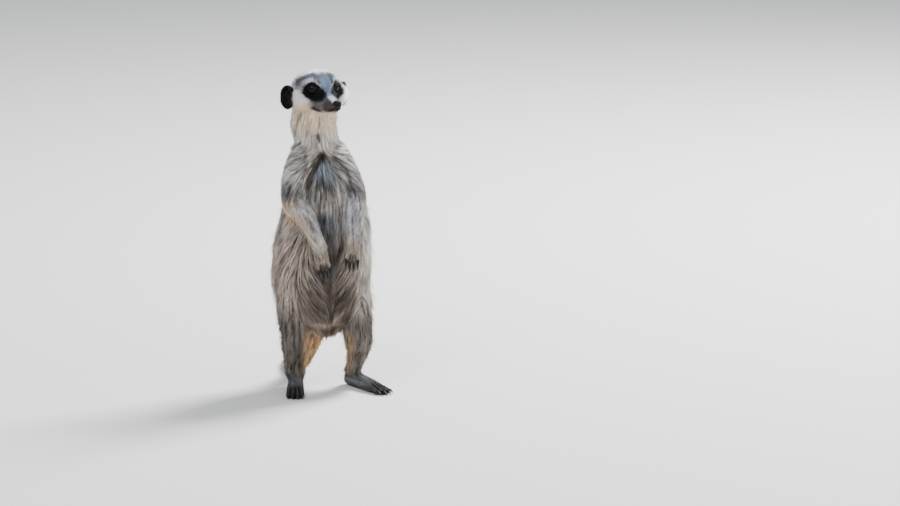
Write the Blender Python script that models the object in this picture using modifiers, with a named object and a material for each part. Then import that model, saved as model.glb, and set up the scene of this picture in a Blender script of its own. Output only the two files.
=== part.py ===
"""A meerkat standing upright on its hind legs and tail, as a life-size still model.

The animal faces -Y, its left side is at +X and the floor is at z = 0. Every form is
given out to the tips of the coat. The forms of the body are lofted tubes and
ellipsoids, fused by a voxel remesh and then parted with thin cuts where a person would
name the parts. The arms are fused on their own, because they lie against the trunk.
"""

import math

import bmesh
import bpy
import numpy as np
from mathutils import Matrix, Vector

# Sizes and places are in millimetres. A station is (x, y, z, half width, half depth).
MM = 0.001
GAP = 0.3
FLOOR = 0.5
FLOOR_BITE = 8.0

HEAD_PLACE = (1.3, -12.5, 279.2)
HEAD_YAW = math.radians(20.0)
EYE_PLACE = (9.8, 2.6, -0.3)
EYE_RADIUS = 5.6
EYE_BULGE = 1.3
EYE_HOLLOW = 10.0
GAZE_OUTWARD, GAZE_UP = math.radians(36.0), math.radians(4.0)
EAR_PLACE = (27.6, 18.6, -9.0)
EAR_RADII = (6.9, 9.9, 3.6)
EAR_OUTWARD = math.radians(56.0)
NOSE_PLACE = (0.0, -25.6, -12.2)
NOSE_RADII = (3.9, 2.9, 3.5)

SKULL = ((0.0, 15.5, -2.6), (23.0, 24.0, 16.6))
FACE_FORMS = (
    # centre, radii: forehead, brows, cheeks, lips and throat, mirrored where x is not 0
    ((0.0, 9.6, 3.2), (15.5, 12.5, 11.4)),
    ((9.0, 5.6, 6.0), (7.4, 5.6, 3.2)),
    ((15.6, 11.2, -8.6), (11.2, 12.5, 11.4)),
    ((15.0, 18.0, -14.0), (9.5, 13.0, 10.0)),
    ((4.6, -15.6, -15.2), (4.0, 7.0, 3.3)),
    ((0.0, 10.0, -20.0), (16.0, 17.0, 10.0)),
)
MUZZLE = (
    (0.0, 8.0, -8.0, 12.0, 11.0),
    (0.0, 0.0, -9.2, 10.6, 9.0),
    (0.0, -8.0, -11.0, 8.9, 7.4),
    (0.0, -16.0, -12.6, 7.0, 5.8),
    (0.0, -22.5, -13.3, 5.2, 4.7),
)
JAW = (
    (0.0, 12.0, -17.0, 14.0, 6.5),
    (0.0, 0.0, -18.0, 9.6, 4.8),
    (0.0, -11.0, -18.5, 6.2, 3.7),
    (0.0, -18.0, -18.6, 4.2, 2.8),
)

NECK = (
    (-2.6, 4.0, 266.0, 20.0, 19.0),
    (-5.4, 4.5, 256.0, 20.6, 20.5),
    (-6.6, 5.0, 245.0, 20.8, 20.8),
    (-5.8, 4.0, 235.0, 22.4, 21.8),
    (-3.6, 3.0, 224.0, 25.4, 23.8),
    (-2.2, 2.4, 210.0, 27.2, 26.0),
)
TRUNK = (
    (-3.0, 2.6, 222.0, 24.5, 23.0),
    (-1.6, 2.0, 209.0, 28.5, 26.5),
    (0.0, 1.5, 195.0, 32.4, 29.0),
    (1.8, 1.2, 177.0, 37.2, 32.0),
    (2.6, 1.4, 158.0, 41.2, 34.8),
    (1.6, 2.0, 140.0, 44.4, 37.2),
    (0.4, 3.0, 121.0, 46.4, 39.4),
    (0.4, 4.6, 103.0, 45.8, 40.6),
    (2.0, 7.0, 84.0, 41.0, 39.6),
    (3.6, 9.6, 68.0, 32.0, 34.0),
    (4.4, 9.5, 57.0, 15.5, 19.0),
)
TAIL = (
    (1.0, 26.0, 76.0, 15.0, 15.0),
    (-0.6, 41.0, 60.0, 12.6, 12.6),
    (-4.0, 51.0, 42.0, 10.8, 10.8),
    (-9.0, 60.0, 25.5, 9.6, 9.6),
    (-14.0, 70.5, 12.5, 8.6, 8.6),
    (-18.0, 84.0, 7.4, 7.6, 7.6),
    (-19.8, 101.0, 6.1, 6.7, 6.4),
    (-19.0, 119.0, 5.4, 6.0, 5.7),
    (-15.5, 137.0, 4.8, 5.3, 5.1),
    (-10.0, 154.0, 4.1, 4.5, 4.3),
    (-3.5, 169.0, 3.0, 3.1, 3.1),
)
LEGS = {
    "right": (
        (-15.0, 7.0, 120.0, 15.0, 24.0),
        (-18.0, 8.0, 100.0, 20.0, 30.0),
        (-23.5, 5.0, 82.0, 18.0, 30.0),
        (-25.4, 0.5, 66.0, 15.2, 26.5),
        (-25.4, -1.0, 52.0, 12.6, 20.5),
        (-24.8, 2.0, 40.0, 11.2, 15.2),
        (-24.4, 6.5, 28.5, 10.6, 11.6),
        (-24.2, 9.0, 17.5, 9.6, 9.4),
        (-23.6, 11.0, 9.0, 8.0, 8.4),
    ),
    "left": (
        (18.0, 7.0, 120.0, 15.0, 24.0),
        (21.5, 8.0, 100.0, 20.0, 30.0),
        (27.5, 5.0, 82.0, 17.6, 30.0),
        (31.0, 0.5, 66.0, 14.6, 26.5),
        (32.4, -1.0, 52.0, 13.2, 20.5),
        (33.2, 2.0, 40.0, 10.8, 15.2),
        (31.8, 6.5, 28.5, 9.0, 11.4),
        (29.0, 11.5, 17.5, 7.0, 8.6),
        (27.0, 15.5, 9.0, 5.8, 7.4),
    ),
}
# Where each foot's heel stands, and how far its toes turn outward.
FEET = {
    "right": {"heel": (-23.0, 14.6), "turn": math.radians(-6.0)},
    "left": {"heel": (26.2, 18.6), "turn": math.radians(28.0)},
}
# Along the foot from its heel: (forward, height, half width, half height).
FOOT = (
    (0.0, 6.4, 6.0, 6.8),
    (14.0, 6.8, 7.0, 7.2),
    (28.0, 6.0, 7.8, 6.4),
    (40.0, 4.9, 8.6, 5.3),
    (46.0, 4.2, 7.8, 4.4),
)
TOE_ROOT, TOE_LENGTH, TOE_RADIUS = 42.0, 15.5, 2.9
TOE_SIDES = (-6.0, -2.1, 2.1, 6.0)
TOE_REACH = (-3.0, 0.0, 0.0, -3.0)
HIND_CLAW = {"length": 7.0, "radius": 1.15, "droop": math.radians(11.0)}

ARMS = {
    "right": (
        (-18.0, -3.0, 219.0, 10.5, 11.5),
        (-21.4, -5.0, 209.0, 11.8, 13.0),
        (-24.8, -9.0, 197.0, 12.0, 13.2),
        (-27.4, -13.0, 186.0, 11.0, 12.0),
        (-28.2, -18.5, 176.5, 10.0, 10.2),
        (-24.4, -26.5, 170.0, 8.6, 8.6),
        (-17.0, -35.0, 161.5, 7.8, 7.8),
        (-11.4, -40.0, 150.5, 7.3, 7.0),
        (-7.2, -42.4, 140.0, 6.9, 6.3),
        (-5.6, -43.2, 133.5, 6.3, 5.4),
    ),
    "left": (
        (13.6, -3.0, 219.0, 10.5, 11.5),
        (17.2, -5.0, 209.0, 12.0, 13.0),
        (22.0, -8.0, 198.0, 12.2, 12.8),
        (26.6, -11.0, 188.0, 11.4, 11.6),
        (29.4, -16.0, 179.0, 10.0, 10.0),
        (28.6, -24.5, 172.5, 8.6, 8.8),
        (27.0, -31.6, 163.5, 7.8, 7.8),
        (25.8, -35.6, 153.5, 7.3, 7.0),
        (25.2, -37.4, 145.5, 6.8, 6.2),
        (24.8, -38.0, 141.0, 6.3, 5.4),
    ),
}
# Each hand hangs from its wrist, along a line that falls by this much to the side and front.
HANDS = {
    "right": {"wrist": (-5.6, -43.2, 133.5), "hang": (0.22, -0.1, -1.0)},
    "left": {"wrist": (24.8, -38.4, 141.0), "hang": (-0.09, -0.12, -1.0)},
}
# Along the hand from its wrist: (distance, half width, half depth).
HAND = ((-3.0, 6.0, 5.2), (3.0, 6.6, 4.7), (8.0, 7.0, 4.3), (11.0, 6.2, 3.4))
FINGER_ROOT, FINGER_LENGTH, FINGER_RADIUS = 7.5, 9.5, 2.35
FINGER_SIDES = (-5.1, -1.8, 1.8, 5.1)
FINGER_REACH = (-2.6, 0.0, 0.0, -2.6)
FORE_CLAW = {"length": 10.0, "radius": 1.1, "droop": math.radians(12.0)}

BODY_VOXEL, ARM_VOXEL = 1.2, 0.9
BODY_TRIANGLES, ARM_TRIANGLES = 3350, 440
# What is simplified least: a place, how far around it, and the share of the full weight.
DETAIL = [
    ((4.0, -16.0, 275.0), 22.0, 0.5),
    ((2.0, 0.0, 275.0), 26.0, 0.6),
    ((-9.0, 60.0, 25.0), 30.0, 0.8),
    ((-17.0, 120.0, 6.0), 45.0, 0.7),
    ((0.0, 0.0, 30.0), 42.0, 0.7),
]
TOE_DETAIL = (16.0, 0.7)

# Each cut: its centre, the direction it faces and the size of its square.
BODY_CUTS = {
    "throat_cut": ((-2.0, 4.0, 260.5), (0.0, -0.22, 1.0), (62.0, 66.0)),
    "collar_cut": ((-3.0, 3.0, 221.0), (0.0, 0.12, 1.0), (70.0, 70.0)),
    "tail_cut": ((-1.0, 40.0, 62.0), (0.0, 0.85, -0.53), (38.0, 37.0)),
    "hip_right_cut": ((-28.3, 5.0, 77.7), (0.86, 0.0, 0.51), (75.0, 74.0)),
    "hip_left_cut": ((31.5, 5.0, 76.0), (-0.86, 0.0, 0.51), (72.0, 74.0)),
    "knee_right_cut": ((-25.0, 0.0, 45.0), (0.0, 0.1, 1.0), (32.0, 56.0)),
    "knee_left_cut": ((33.0, 0.0, 45.0), (0.0, 0.1, 1.0), (32.0, 56.0)),
    "ankle_right_cut": ((-24.0, 9.0, 17.0), (0.0, -0.2, 1.0), (34.0, 36.0)),
    "ankle_left_cut": ((28.0, 12.0, 16.0), (0.0, -0.2, 1.0), (34.0, 34.0)),
}
BODY_SEEDS = {
    "head": (2.0, -2.0, 276.0),
    "neck": (-4.0, 3.0, 240.0),
    "trunk": (1.0, 3.0, 135.0),
    "tail": (-9.0, 105.0, 32.0),
    "thigh_right": (-30.0, 3.0, 72.0),
    "thigh_left": (35.0, 3.0, 72.0),
    "shank_right": (-25.0, 3.0, 30.0),
    "shank_left": (32.0, 4.0, 30.0),
    "foot_right": (-26.0, -18.0, 7.0),
    "foot_left": (40.0, -9.0, 7.0),
}
ARM_CUTS = {
    "right": {
        "elbow_cut": ((-26.8, -21.0, 174.0), (-0.3, 0.62, 0.72), (34.0, 34.0)),
        "wrist_cut": ((-5.8, -43.0, 134.5), (-0.2, 0.1, 1.0), (26.0, 26.0)),
    },
    "left": {
        "elbow_cut": ((29.2, -19.0, 176.5), (0.1, 0.66, 0.75), (34.0, 34.0)),
        "wrist_cut": ((24.9, -37.8, 142.5), (0.1, 0.1, 1.0), (26.0, 26.0)),
    },
}
ARM_SEEDS = {
    "right": {
        "upper_arm_right": (-24.0, -10.0, 197.0),
        "forearm_right": (-16.0, -32.0, 154.0),
        "hand_right": (-3.0, -43.0, 123.0),
    },
    "left": {
        "upper_arm_left": (22.0, -8.0, 198.0),
        "forearm_left": (27.0, -30.0, 159.0),
        "hand_left": (24.0, -38.0, 130.0),
    },
}

COATS = {
    # kind: base colour, roughness
    "grizzled_coat": ((0.36, 0.30, 0.24, 1.0), 0.9),
    "tail_coat": ((0.42, 0.29, 0.17, 1.0), 0.9),
    "ear_black": ((0.03, 0.025, 0.022, 1.0), 0.8),
    "nose_skin": ((0.05, 0.032, 0.025, 1.0), 0.45),
    "eye": ((0.03, 0.014, 0.008, 1.0), 0.08),
    "claw": ((0.06, 0.055, 0.055, 1.0), 0.4),
}


def clear_scene():
    for obj in list(bpy.data.objects):
        bpy.data.objects.remove(obj)


def new_collection(name):
    made = bpy.data.collections.new(name)
    bpy.context.scene.collection.children.link(made)
    return made


def material(name, kind):
    """A part's own material, with the colour and the roughness of its kind."""
    colour, roughness = COATS[kind]
    made = bpy.data.materials.new(name)
    made.use_nodes = True
    shader = made.node_tree.nodes["Principled BSDF"]
    shader.inputs["Base Color"].default_value = colour
    shader.inputs["Roughness"].default_value = roughness
    return made


def object_of(bm, name, collection):
    """A new object with this mesh, scaled from millimetres to metres."""
    bmesh.ops.recalc_face_normals(bm, faces=bm.faces)
    bmesh.ops.scale(bm, vec=(MM, MM, MM), verts=bm.verts)
    mesh = bpy.data.meshes.new(name)
    bm.to_mesh(mesh)
    bm.free()
    obj = bpy.data.objects.new(name, mesh)
    collection.objects.link(obj)
    return obj


def settle(obj):
    """Replaces obj's mesh with what its modifiers make of it."""
    graph = bpy.context.evaluated_depsgraph_get()
    mesh = bpy.data.meshes.new_from_object(obj.evaluated_get(graph))
    obj.modifiers.clear()
    obj.data = mesh
    return obj


def smooth_rows(rows, steps):
    """Rows on a Catmull-Rom curve through these rows, with this many steps to a span."""
    rows = np.array(rows, float)
    padded = np.vstack([2 * rows[0] - rows[1], rows, 2 * rows[-1] - rows[-2]])
    made = []
    for k in range(len(rows) - 1):
        a, b, c, d = padded[k : k + 4]
        for t in np.arange(steps) / steps:
            bend = (2 * a - 5 * b + 4 * c - d) * t**2 + (3 * b - a - 3 * c + d) * t**3
            made.append(0.5 * (2 * b + (c - a) * t + bend))
    made.append(rows[-1])
    return np.array(made)


def loft(bm, stations, sides=28, steps=4, ends=(1.0, 1.0), cap_angles=(60.0, 30.0)):
    """Adds a closed tube of elliptical rings through the stations.

    The half widths lie along X as nearly as the tube allows. ends is how far each end
    bulges, as a share of that ring's smaller half size, over rings at cap_angles.
    """
    rows = smooth_rows(stations, steps)
    centres = [Vector(row[:3]) for row in rows]
    last = len(rows) - 1
    rings = []
    for k, row in enumerate(rows):
        tangent = (centres[min(k + 1, last)] - centres[max(k - 1, 0)]).normalized()
        across = Vector((1.0, 0.0, 0.0))
        across = (across - tangent * across.dot(tangent)).normalized()
        rings.append((centres[k], tangent, across, tangent.cross(across), row[3], row[4]))
    turns = [math.radians(a) for a in cap_angles]
    first, final = rings[0], rings[last]
    outline = [(first, -ends[0] * math.sin(a), math.cos(a)) for a in turns]
    outline += [(ring, 0.0, 1.0) for ring in rings]
    outline += [(final, ends[1] * math.sin(a), math.cos(a)) for a in reversed(turns)]
    loops = []
    for (centre, tangent, across, deep, width, depth), push, scale in outline:
        middle = centre + tangent * push * min(width, depth)
        loops.append([])
        for n in range(sides):
            turn = 2 * math.pi * n / sides
            offset = across * math.cos(turn) * width + deep * math.sin(turn) * depth
            loops[-1].append(bm.verts.new(middle + offset * scale))
    for near, far in zip(loops, loops[1:]):
        for n in range(sides):
            after = (n + 1) % sides
            bm.faces.new((near[n], near[after], far[after], far[n]))
    for loop, ring, push in ((loops[0], first, -ends[0]), (loops[-1], final, ends[1])):
        pole = bm.verts.new(ring[0] + ring[1] * push * min(ring[4], ring[5]))
        for n in range(sides):
            bm.faces.new((loop[n], loop[(n + 1) % sides], pole))


def ellipsoid(bm, centre, radii, turn=None, segments=32, rings=20):
    """Adds an ellipsoid, turned about its centre by the matrix turn."""
    place = Matrix.Translation(centre) @ (turn or Matrix.Identity(4))
    place = place @ Matrix.Diagonal((*radii, 1.0))
    bmesh.ops.create_uvsphere(
        bm, u_segments=segments, v_segments=rings, radius=1.0, matrix=place
    )


def mirrored(place):
    """The place itself and, where it is off the middle plane, its mirror image."""
    return [place] if place[0] == 0 else [place, (-place[0], *place[1:])]


def head_matrix():
    return Matrix.Translation(HEAD_PLACE) @ Matrix.Rotation(HEAD_YAW, 4, "Z")


def ear_turn(sign):
    """Turns an ear's own axes, with its hollow facing +Z, so that it faces out and forward."""
    outward = Matrix.Rotation(sign * EAR_OUTWARD, 4, "Z")
    return outward @ Matrix.Rotation(math.radians(90.0), 4, "X")


def add_head(bm):
    part = bmesh.new()
    ellipsoid(part, *SKULL)
    for centre, radii in FACE_FORMS:
        for place in mirrored(centre):
            ellipsoid(part, place, radii)
    loft(part, MUZZLE, ends=(0.5, 0.7))
    loft(part, JAW, ends=(0.5, 0.9))
    add_transformed(bm, part, head_matrix())


def gaze(sign):
    """The direction in which the left (+1) or the right (-1) eye looks, in the head's axes."""
    level = math.cos(GAZE_UP)
    return Vector((sign * math.sin(GAZE_OUTWARD) * level, -math.cos(GAZE_OUTWARD) * level,
                   math.sin(GAZE_UP)))


def hollow_eyes(body):
    """Presses the face in around each eye, so that the eyeball stands out of it."""
    head = head_matrix()
    turn = head.to_3x3()
    for place in mirrored(EYE_PLACE):
        centre, look = head @ Vector(place), turn @ gaze(math.copysign(1, place[0]))
        middle = centre + look * EYE_RADIUS
        for vertex in body.data.vertices:
            point = vertex.co / MM
            near = 1.0 - (point - middle).length / EYE_HOLLOW
            above = (point - centre).dot(look) - (EYE_RADIUS - EYE_BULGE)
            if near > 0 and above > 0:
                ease = min(1.0, 1.6 * near * near * (3.0 - 2.0 * near))
                vertex.co -= look * above * ease * MM


def add_transformed(bm, part, matrix):
    """Adds the faces of part to bm, moved by the matrix."""
    bmesh.ops.transform(part, matrix=matrix, verts=part.verts)
    mesh = bpy.data.meshes.new("scratch")
    part.to_mesh(mesh)
    part.free()
    bm.from_mesh(mesh)
    bpy.data.meshes.remove(mesh)


def foot_matrix(side):
    """From a foot's own axes, with its toes along -Y, to its place on the floor."""
    foot = FEET[side]
    place = Matrix.Translation((*foot["heel"], 0.0))
    return place @ Matrix.Rotation(foot["turn"], 4, "Z")


def add_foot(bm, side):
    part = bmesh.new()
    loft(part, [(0.0, -f, h, w, d) for f, h, w, d in FOOT], ends=(0.9, 0.5))
    for across, reach in zip(TOE_SIDES, TOE_REACH):
        root = Vector((across * 0.85, -TOE_ROOT, 4.2))
        tip = Vector((across * 1.12, -TOE_ROOT - TOE_LENGTH - reach, 2.6))
        knuckle = root.lerp(tip, 0.5) + Vector((0.0, 0.0, 0.9))
        stations = [(*p, TOE_RADIUS, TOE_RADIUS) for p in (root, knuckle, tip)]
        loft(part, stations, sides=16)
    add_transformed(bm, part, foot_matrix(side))


def hand_matrix(side):
    """From a hand's own axes, with its fingers along -Z and its palm to +Y, to its wrist."""
    hand = HANDS[side]
    down = -Vector(hand["hang"]).normalized()
    across = Vector((1.0, 0.0, 0.0))
    across = (across - down * across.dot(down)).normalized()
    turn = Matrix((across, down.cross(across), down)).transposed().to_4x4()
    return Matrix.Translation(hand["wrist"]) @ turn


def add_hand(bm, side):
    part = bmesh.new()
    loft(part, [(0.0, 0.0, -s, w, d) for s, w, d in HAND], sides=24)
    for across, reach in zip(FINGER_SIDES, FINGER_REACH):
        root = Vector((across * 0.85, 0.0, -FINGER_ROOT))
        tip = Vector((across * 1.05, 1.0, -FINGER_ROOT - FINGER_LENGTH - reach))
        knuckle = root.lerp(tip, 0.5) + Vector((0.0, -0.8, 0.0))
        stations = [(*p, FINGER_RADIUS, FINGER_RADIUS) for p in (root, knuckle, tip)]
        loft(part, stations, sides=16)
    add_transformed(bm, part, hand_matrix(side))


def claw_stations(root, forward, down, size, swell):
    """Stations of one claw, which leaves root along forward and curves towards down."""
    made = []
    for t in (0.0, 0.35, 0.7, 1.0):
        bend = size["droop"] * (0.4 + 1.6 * t)
        along = forward * math.cos(bend) + down * math.sin(bend)
        radius = size["radius"] * (1.0 - 0.82 * t) + swell
        made.append((*(root + along * size["length"] * t), radius * 0.75, radius))
    return made


def claw_places():
    """(name, matrix, root, forward, down, size) of each claw, in its foot's or hand's axes."""
    made = []
    for side in ("left", "right"):
        for n, (across, reach) in enumerate(zip(TOE_SIDES, TOE_REACH)):
            root = Vector((across * 1.12, -TOE_ROOT - TOE_LENGTH - reach - 1.2, 4.0))
            axes = (Vector((0.0, -1.0, 0.0)), Vector((0.0, 0.0, -1.0)))
            name = f"foot_{side}_claw_{n + 1}"
            made.append((name, foot_matrix(side), root, *axes, HIND_CLAW))
        for n, (across, reach) in enumerate(zip(FINGER_SIDES, FINGER_REACH)):
            end = -FINGER_ROOT - FINGER_LENGTH - reach - 0.8
            root = Vector((across * 1.05, 0.2, end))
            axes = (Vector((0.0, 0.0, -1.0)), Vector((0.0, 1.0, 0.0)))
            name = f"hand_{side}_claw_{n + 1}"
            made.append((name, hand_matrix(side), root, *axes, FORE_CLAW))
    return made


def claw_mesh(place, swell=0.0):
    _, matrix, root, forward, down, size = place
    part, bm = bmesh.new(), bmesh.new()
    stations = claw_stations(root, forward, down, size, swell)
    loft(part, stations, sides=5, steps=1, ends=(0.4, 1.0), cap_angles=())
    add_transformed(bm, part, matrix)
    return bm


def fused(bm, name, collection, voxel, smoothing):
    """One smooth closed mesh of all the overlapping forms in bm."""
    obj = object_of(bm, name, collection)
    remesh = obj.modifiers.new("fuse", "REMESH")
    remesh.mode, remesh.voxel_size = "VOXEL", voxel * MM
    smooth = obj.modifiers.new("smooth", "SMOOTH")
    smooth.factor, smooth.iterations = 0.5, smoothing
    return settle(obj)


def keep_detail(obj, seeds, name="coarse"):
    """Weighs each vertex by how far it may be simplified: least near the seeds."""
    group = obj.vertex_groups.new(name=name)
    for vertex in obj.data.vertices:
        weight = 1.0
        for place, reach, least in seeds:
            beyond = ((vertex.co / MM - Vector(place)).length - reach) / reach
            weight = min(weight, least + (1.0 - least) * max(0.0, beyond))
        group.add([vertex.index], weight, "REPLACE")


def simplified(obj, triangles, group=""):
    """Collapses the mesh to about this many triangles, mostly where the group weighs most."""
    faces = sum(len(p.vertices) - 2 for p in obj.data.polygons)
    decimate = obj.modifiers.new("simplify", "DECIMATE")
    decimate.ratio = triangles / faces
    decimate.vertex_group = group
    decimate.vertex_group_factor = 1.0
    return settle(obj)


def slab(name, centre, normal, size, collection):
    """A thin square cutter across normal, as thick as the gap between two parts."""
    bm = bmesh.new()
    bmesh.ops.create_cube(bm, size=1.0)
    facing = Vector(normal).normalized()
    across = (Vector((1.0, 0.0, 0.0)) - facing * facing.x).normalized()
    turn = Matrix((across, facing.cross(across), facing)).transposed().to_4x4()
    place = Matrix.Translation(centre) @ turn @ Matrix.Diagonal((*size, GAP, 1.0))
    bmesh.ops.transform(bm, matrix=place, verts=bm.verts)
    return cutter(object_of(bm, name, collection))


def cutter(obj):
    obj.hide_render = True
    obj.display_type = "WIRE"
    return obj


def cut(obj, cutters):
    """Takes the cutters away from obj, one after another."""
    for tool in cutters:
        boolean = obj.modifiers.new(tool.name, "BOOLEAN")
        boolean.operation, boolean.object = "DIFFERENCE", tool
        settle(obj)
    return obj


def parted(obj, seeds, collection):
    """Splits obj into its loose pieces, each named for the seed nearest to its middle."""
    bpy.ops.object.select_all(action="DESELECT")
    obj.select_set(True)
    bpy.context.view_layer.objects.active = obj
    bpy.ops.object.mode_set(mode="EDIT")
    bpy.ops.mesh.select_all(action="SELECT")
    bpy.ops.mesh.separate(type="LOOSE")
    bpy.ops.object.mode_set(mode="OBJECT")
    pieces = list(bpy.context.selected_objects)
    for piece in pieces:
        corners = np.array([v.co for v in piece.data.vertices])
        middle = Vector((corners.min(0) + corners.max(0)) / 2) / MM
        piece.name = min(seeds, key=lambda n: (Vector(seeds[n]) - middle).length)
        piece.data.name = piece.name
    return pieces


def finish(obj, kind):
    obj.data.materials.clear()
    obj.data.materials.append(material(obj.name, kind))
    obj.data.shade_smooth()
    obj.data.set_sharp_from_angle(angle=math.radians(50.0))


def ear_mesh(place, swell=0.0):
    """An ear: a flattened bowl, open to the front and the side."""
    part, bm = bmesh.new(), bmesh.new()
    ellipsoid(part, (0.0, 0.0, 0.0), (1.0, 1.0, 1.0), segments=12, rings=8)
    for vertex in part.verts:
        rim = min(1.0, math.hypot(vertex.co.x, vertex.co.y))
        if vertex.co.z > 0 and not swell:
            vertex.co.z *= 0.1 + 1.1 * rim**2
    sizes = Matrix.Diagonal((*(radius + swell for radius in EAR_RADII), 1.0))
    turn = ear_turn(math.copysign(1, place[0]))
    matrix = head_matrix() @ Matrix.Translation(place) @ turn @ sizes
    add_transformed(bm, part, matrix)
    return bm


def ball_mesh(centre, radii, swell=0.0, segments=12, rings=8):
    """An ellipsoid in the head's own axes."""
    bm = bmesh.new()
    turn = Matrix.Rotation(HEAD_YAW, 4, "Z")
    grown = [radius + swell for radius in radii]
    ellipsoid(bm, head_matrix() @ Vector(centre), grown, turn, segments, rings)
    return bm


def swollen(obj, name, collection):
    """A cutter: obj grown by the gap along its normals."""
    copy = bpy.data.objects.new(name, obj.data.copy())
    collection.objects.link(copy)
    grow = copy.modifiers.new("grow", "DISPLACE")
    grow.strength, grow.mid_level = GAP * MM, 0.0
    return cutter(settle(copy))


def add_claws(owners, collection, tools):
    """Sixteen claws, each in a socket in the tip of its toe or finger."""
    for place in claw_places():
        owner = owners[place[0].split("_claw")[0]]
        set_in(owner, place[0], lambda s: claw_mesh(place, s), "claw", collection, tools)


def set_in(owner, name, make, slot, collection, tools):
    """A node made by make, in a socket that leaves the gap around it in owner."""
    finish(object_of(make(0.0), name, collection), slot)
    cut(owner, [cutter(object_of(make(GAP), name + "_socket", tools))])


def add_face_parts(head, collection, tools):
    for place in mirrored(EYE_PLACE):
        side = "left" if place[0] > 0 else "right"
        radii = (EYE_RADIUS,) * 3
        set_in(head, f"eye_{side}", lambda s: ball_mesh(place, radii, s), "eye", collection,
               tools)
    for place in mirrored(EAR_PLACE):
        side = "left" if place[0] > 0 else "right"
        set_in(head, f"ear_{side}", lambda s: ear_mesh(place, s), "ear_black", collection,
               tools)
    set_in(head, "nose", lambda s: ball_mesh(NOSE_PLACE, NOSE_RADII, s), "nose_skin",
           collection, tools)


def below_floor(tools):
    """The cutter that gives the feet and the tail their flats, all at one level."""
    bm = bmesh.new()
    bmesh.ops.create_cube(bm, size=1.0)
    bmesh.ops.scale(bm, vec=(300.0, 500.0, FLOOR_BITE), verts=bm.verts)
    bmesh.ops.translate(bm, vec=(0.0, 0.0, FLOOR - FLOOR_BITE / 2), verts=bm.verts)
    return cutter(object_of(bm, "below_floor", tools))


def centre_on_floor(pieces):
    """Moves every mesh so that the animal stands on z = 0 about the middle of its box."""
    points = np.array([v.co for piece in pieces for v in piece.data.vertices])
    low, high = points.min(0), points.max(0)
    shift = Matrix.Translation((-(low[0] + high[0]) / 2, -(low[1] + high[1]) / 2, -low[2]))
    for piece in pieces:
        piece.data.transform(shift)


def make_body(animal, tools):
    """The fused head, neck, trunk, tail and legs."""
    bm = bmesh.new()
    add_head(bm)
    loft(bm, NECK)
    loft(bm, TRUNK, ends=(0.5, 0.7))
    loft(bm, TAIL, ends=(0.4, 1.0))
    for side, stations in LEGS.items():
        loft(bm, stations, ends=(0.5, 0.6))
        add_foot(bm, side)
    body = fused(bm, "body", animal, BODY_VOXEL, 6)
    hollow_eyes(body)
    seeds = [(foot_matrix(side) @ Vector((0.0, -TOE_ROOT, 0.0)), *TOE_DETAIL) for side in FEET]
    keep_detail(body, seeds + DETAIL)
    simplified(body, BODY_TRIANGLES, "coarse")
    return cut(body, [below_floor(tools)])


def make_arm(side, animal, tools):
    bm = bmesh.new()
    loft(bm, ARMS[side], sides=24)
    add_hand(bm, side)
    arm = fused(bm, "arm_" + side, animal, ARM_VOXEL, 5)
    return simplified(arm, ARM_TRIANGLES)


def main():
    clear_scene()
    animal, tools = new_collection("meerkat"), new_collection("cutters")
    body = make_body(animal, tools)
    arms = {side: make_arm(side, animal, tools) for side in ARMS}
    for side, arm in arms.items():
        cut(body, [swollen(arm, "armpit_" + side, tools)])
    cut(body, [slab(name, *BODY_CUTS[name], tools) for name in BODY_CUTS])
    pieces = parted(body, BODY_SEEDS, animal)
    for side, arm in arms.items():
        cuts = ARM_CUTS[side]
        cut(arm, [slab(f"{n}_{side}", *cuts[n], tools) for n in cuts])
        pieces += parted(arm, ARM_SEEDS[side], animal)
    named = {piece.name: piece for piece in pieces}
    for name, piece in named.items():
        finish(piece, "tail_coat" if name == "tail" else "grizzled_coat")
    add_face_parts(named["head"], animal, tools)
    add_claws(named, animal, tools)
    centre_on_floor(list(animal.objects))


main()
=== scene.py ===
"""Looks for the standing meerkat: skin, coat, face, ears, claws, lights and camera.

Lengths are in millimetres in the animal's own axes: it faces -Y, its left side is at
+X, the floor is near z = 0 and the body's middle plane lies near x = 0. The frame says
where those axes stand in the row frame. The skin is made from the frame's flesh nodes,
and the coat is combed over it, tuft by tuft, out to the outline that those nodes give.
"""

import math

import bmesh
import bpy
import numpy as np
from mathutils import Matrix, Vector
from mathutils.bvhtree import BVHTree
from mathutils.kdtree import KDTree


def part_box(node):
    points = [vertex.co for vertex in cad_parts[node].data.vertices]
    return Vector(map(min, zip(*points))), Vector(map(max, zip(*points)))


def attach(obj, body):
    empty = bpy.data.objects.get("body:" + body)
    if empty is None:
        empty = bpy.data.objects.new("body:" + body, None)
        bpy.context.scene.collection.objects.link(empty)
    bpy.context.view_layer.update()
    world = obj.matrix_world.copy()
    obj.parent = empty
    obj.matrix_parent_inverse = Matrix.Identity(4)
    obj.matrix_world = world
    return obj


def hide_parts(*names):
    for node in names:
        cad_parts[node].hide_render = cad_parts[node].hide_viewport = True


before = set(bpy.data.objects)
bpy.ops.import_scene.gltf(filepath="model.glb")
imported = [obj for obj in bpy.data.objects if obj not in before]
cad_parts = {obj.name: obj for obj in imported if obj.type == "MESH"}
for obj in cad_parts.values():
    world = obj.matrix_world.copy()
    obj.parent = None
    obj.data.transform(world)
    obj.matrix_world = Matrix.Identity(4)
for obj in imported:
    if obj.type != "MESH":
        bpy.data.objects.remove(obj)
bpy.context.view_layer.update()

MM = 0.001
FULL_TURN = 2 * math.pi
SIDES = {"left": 1.0, "right": -1.0}

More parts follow.
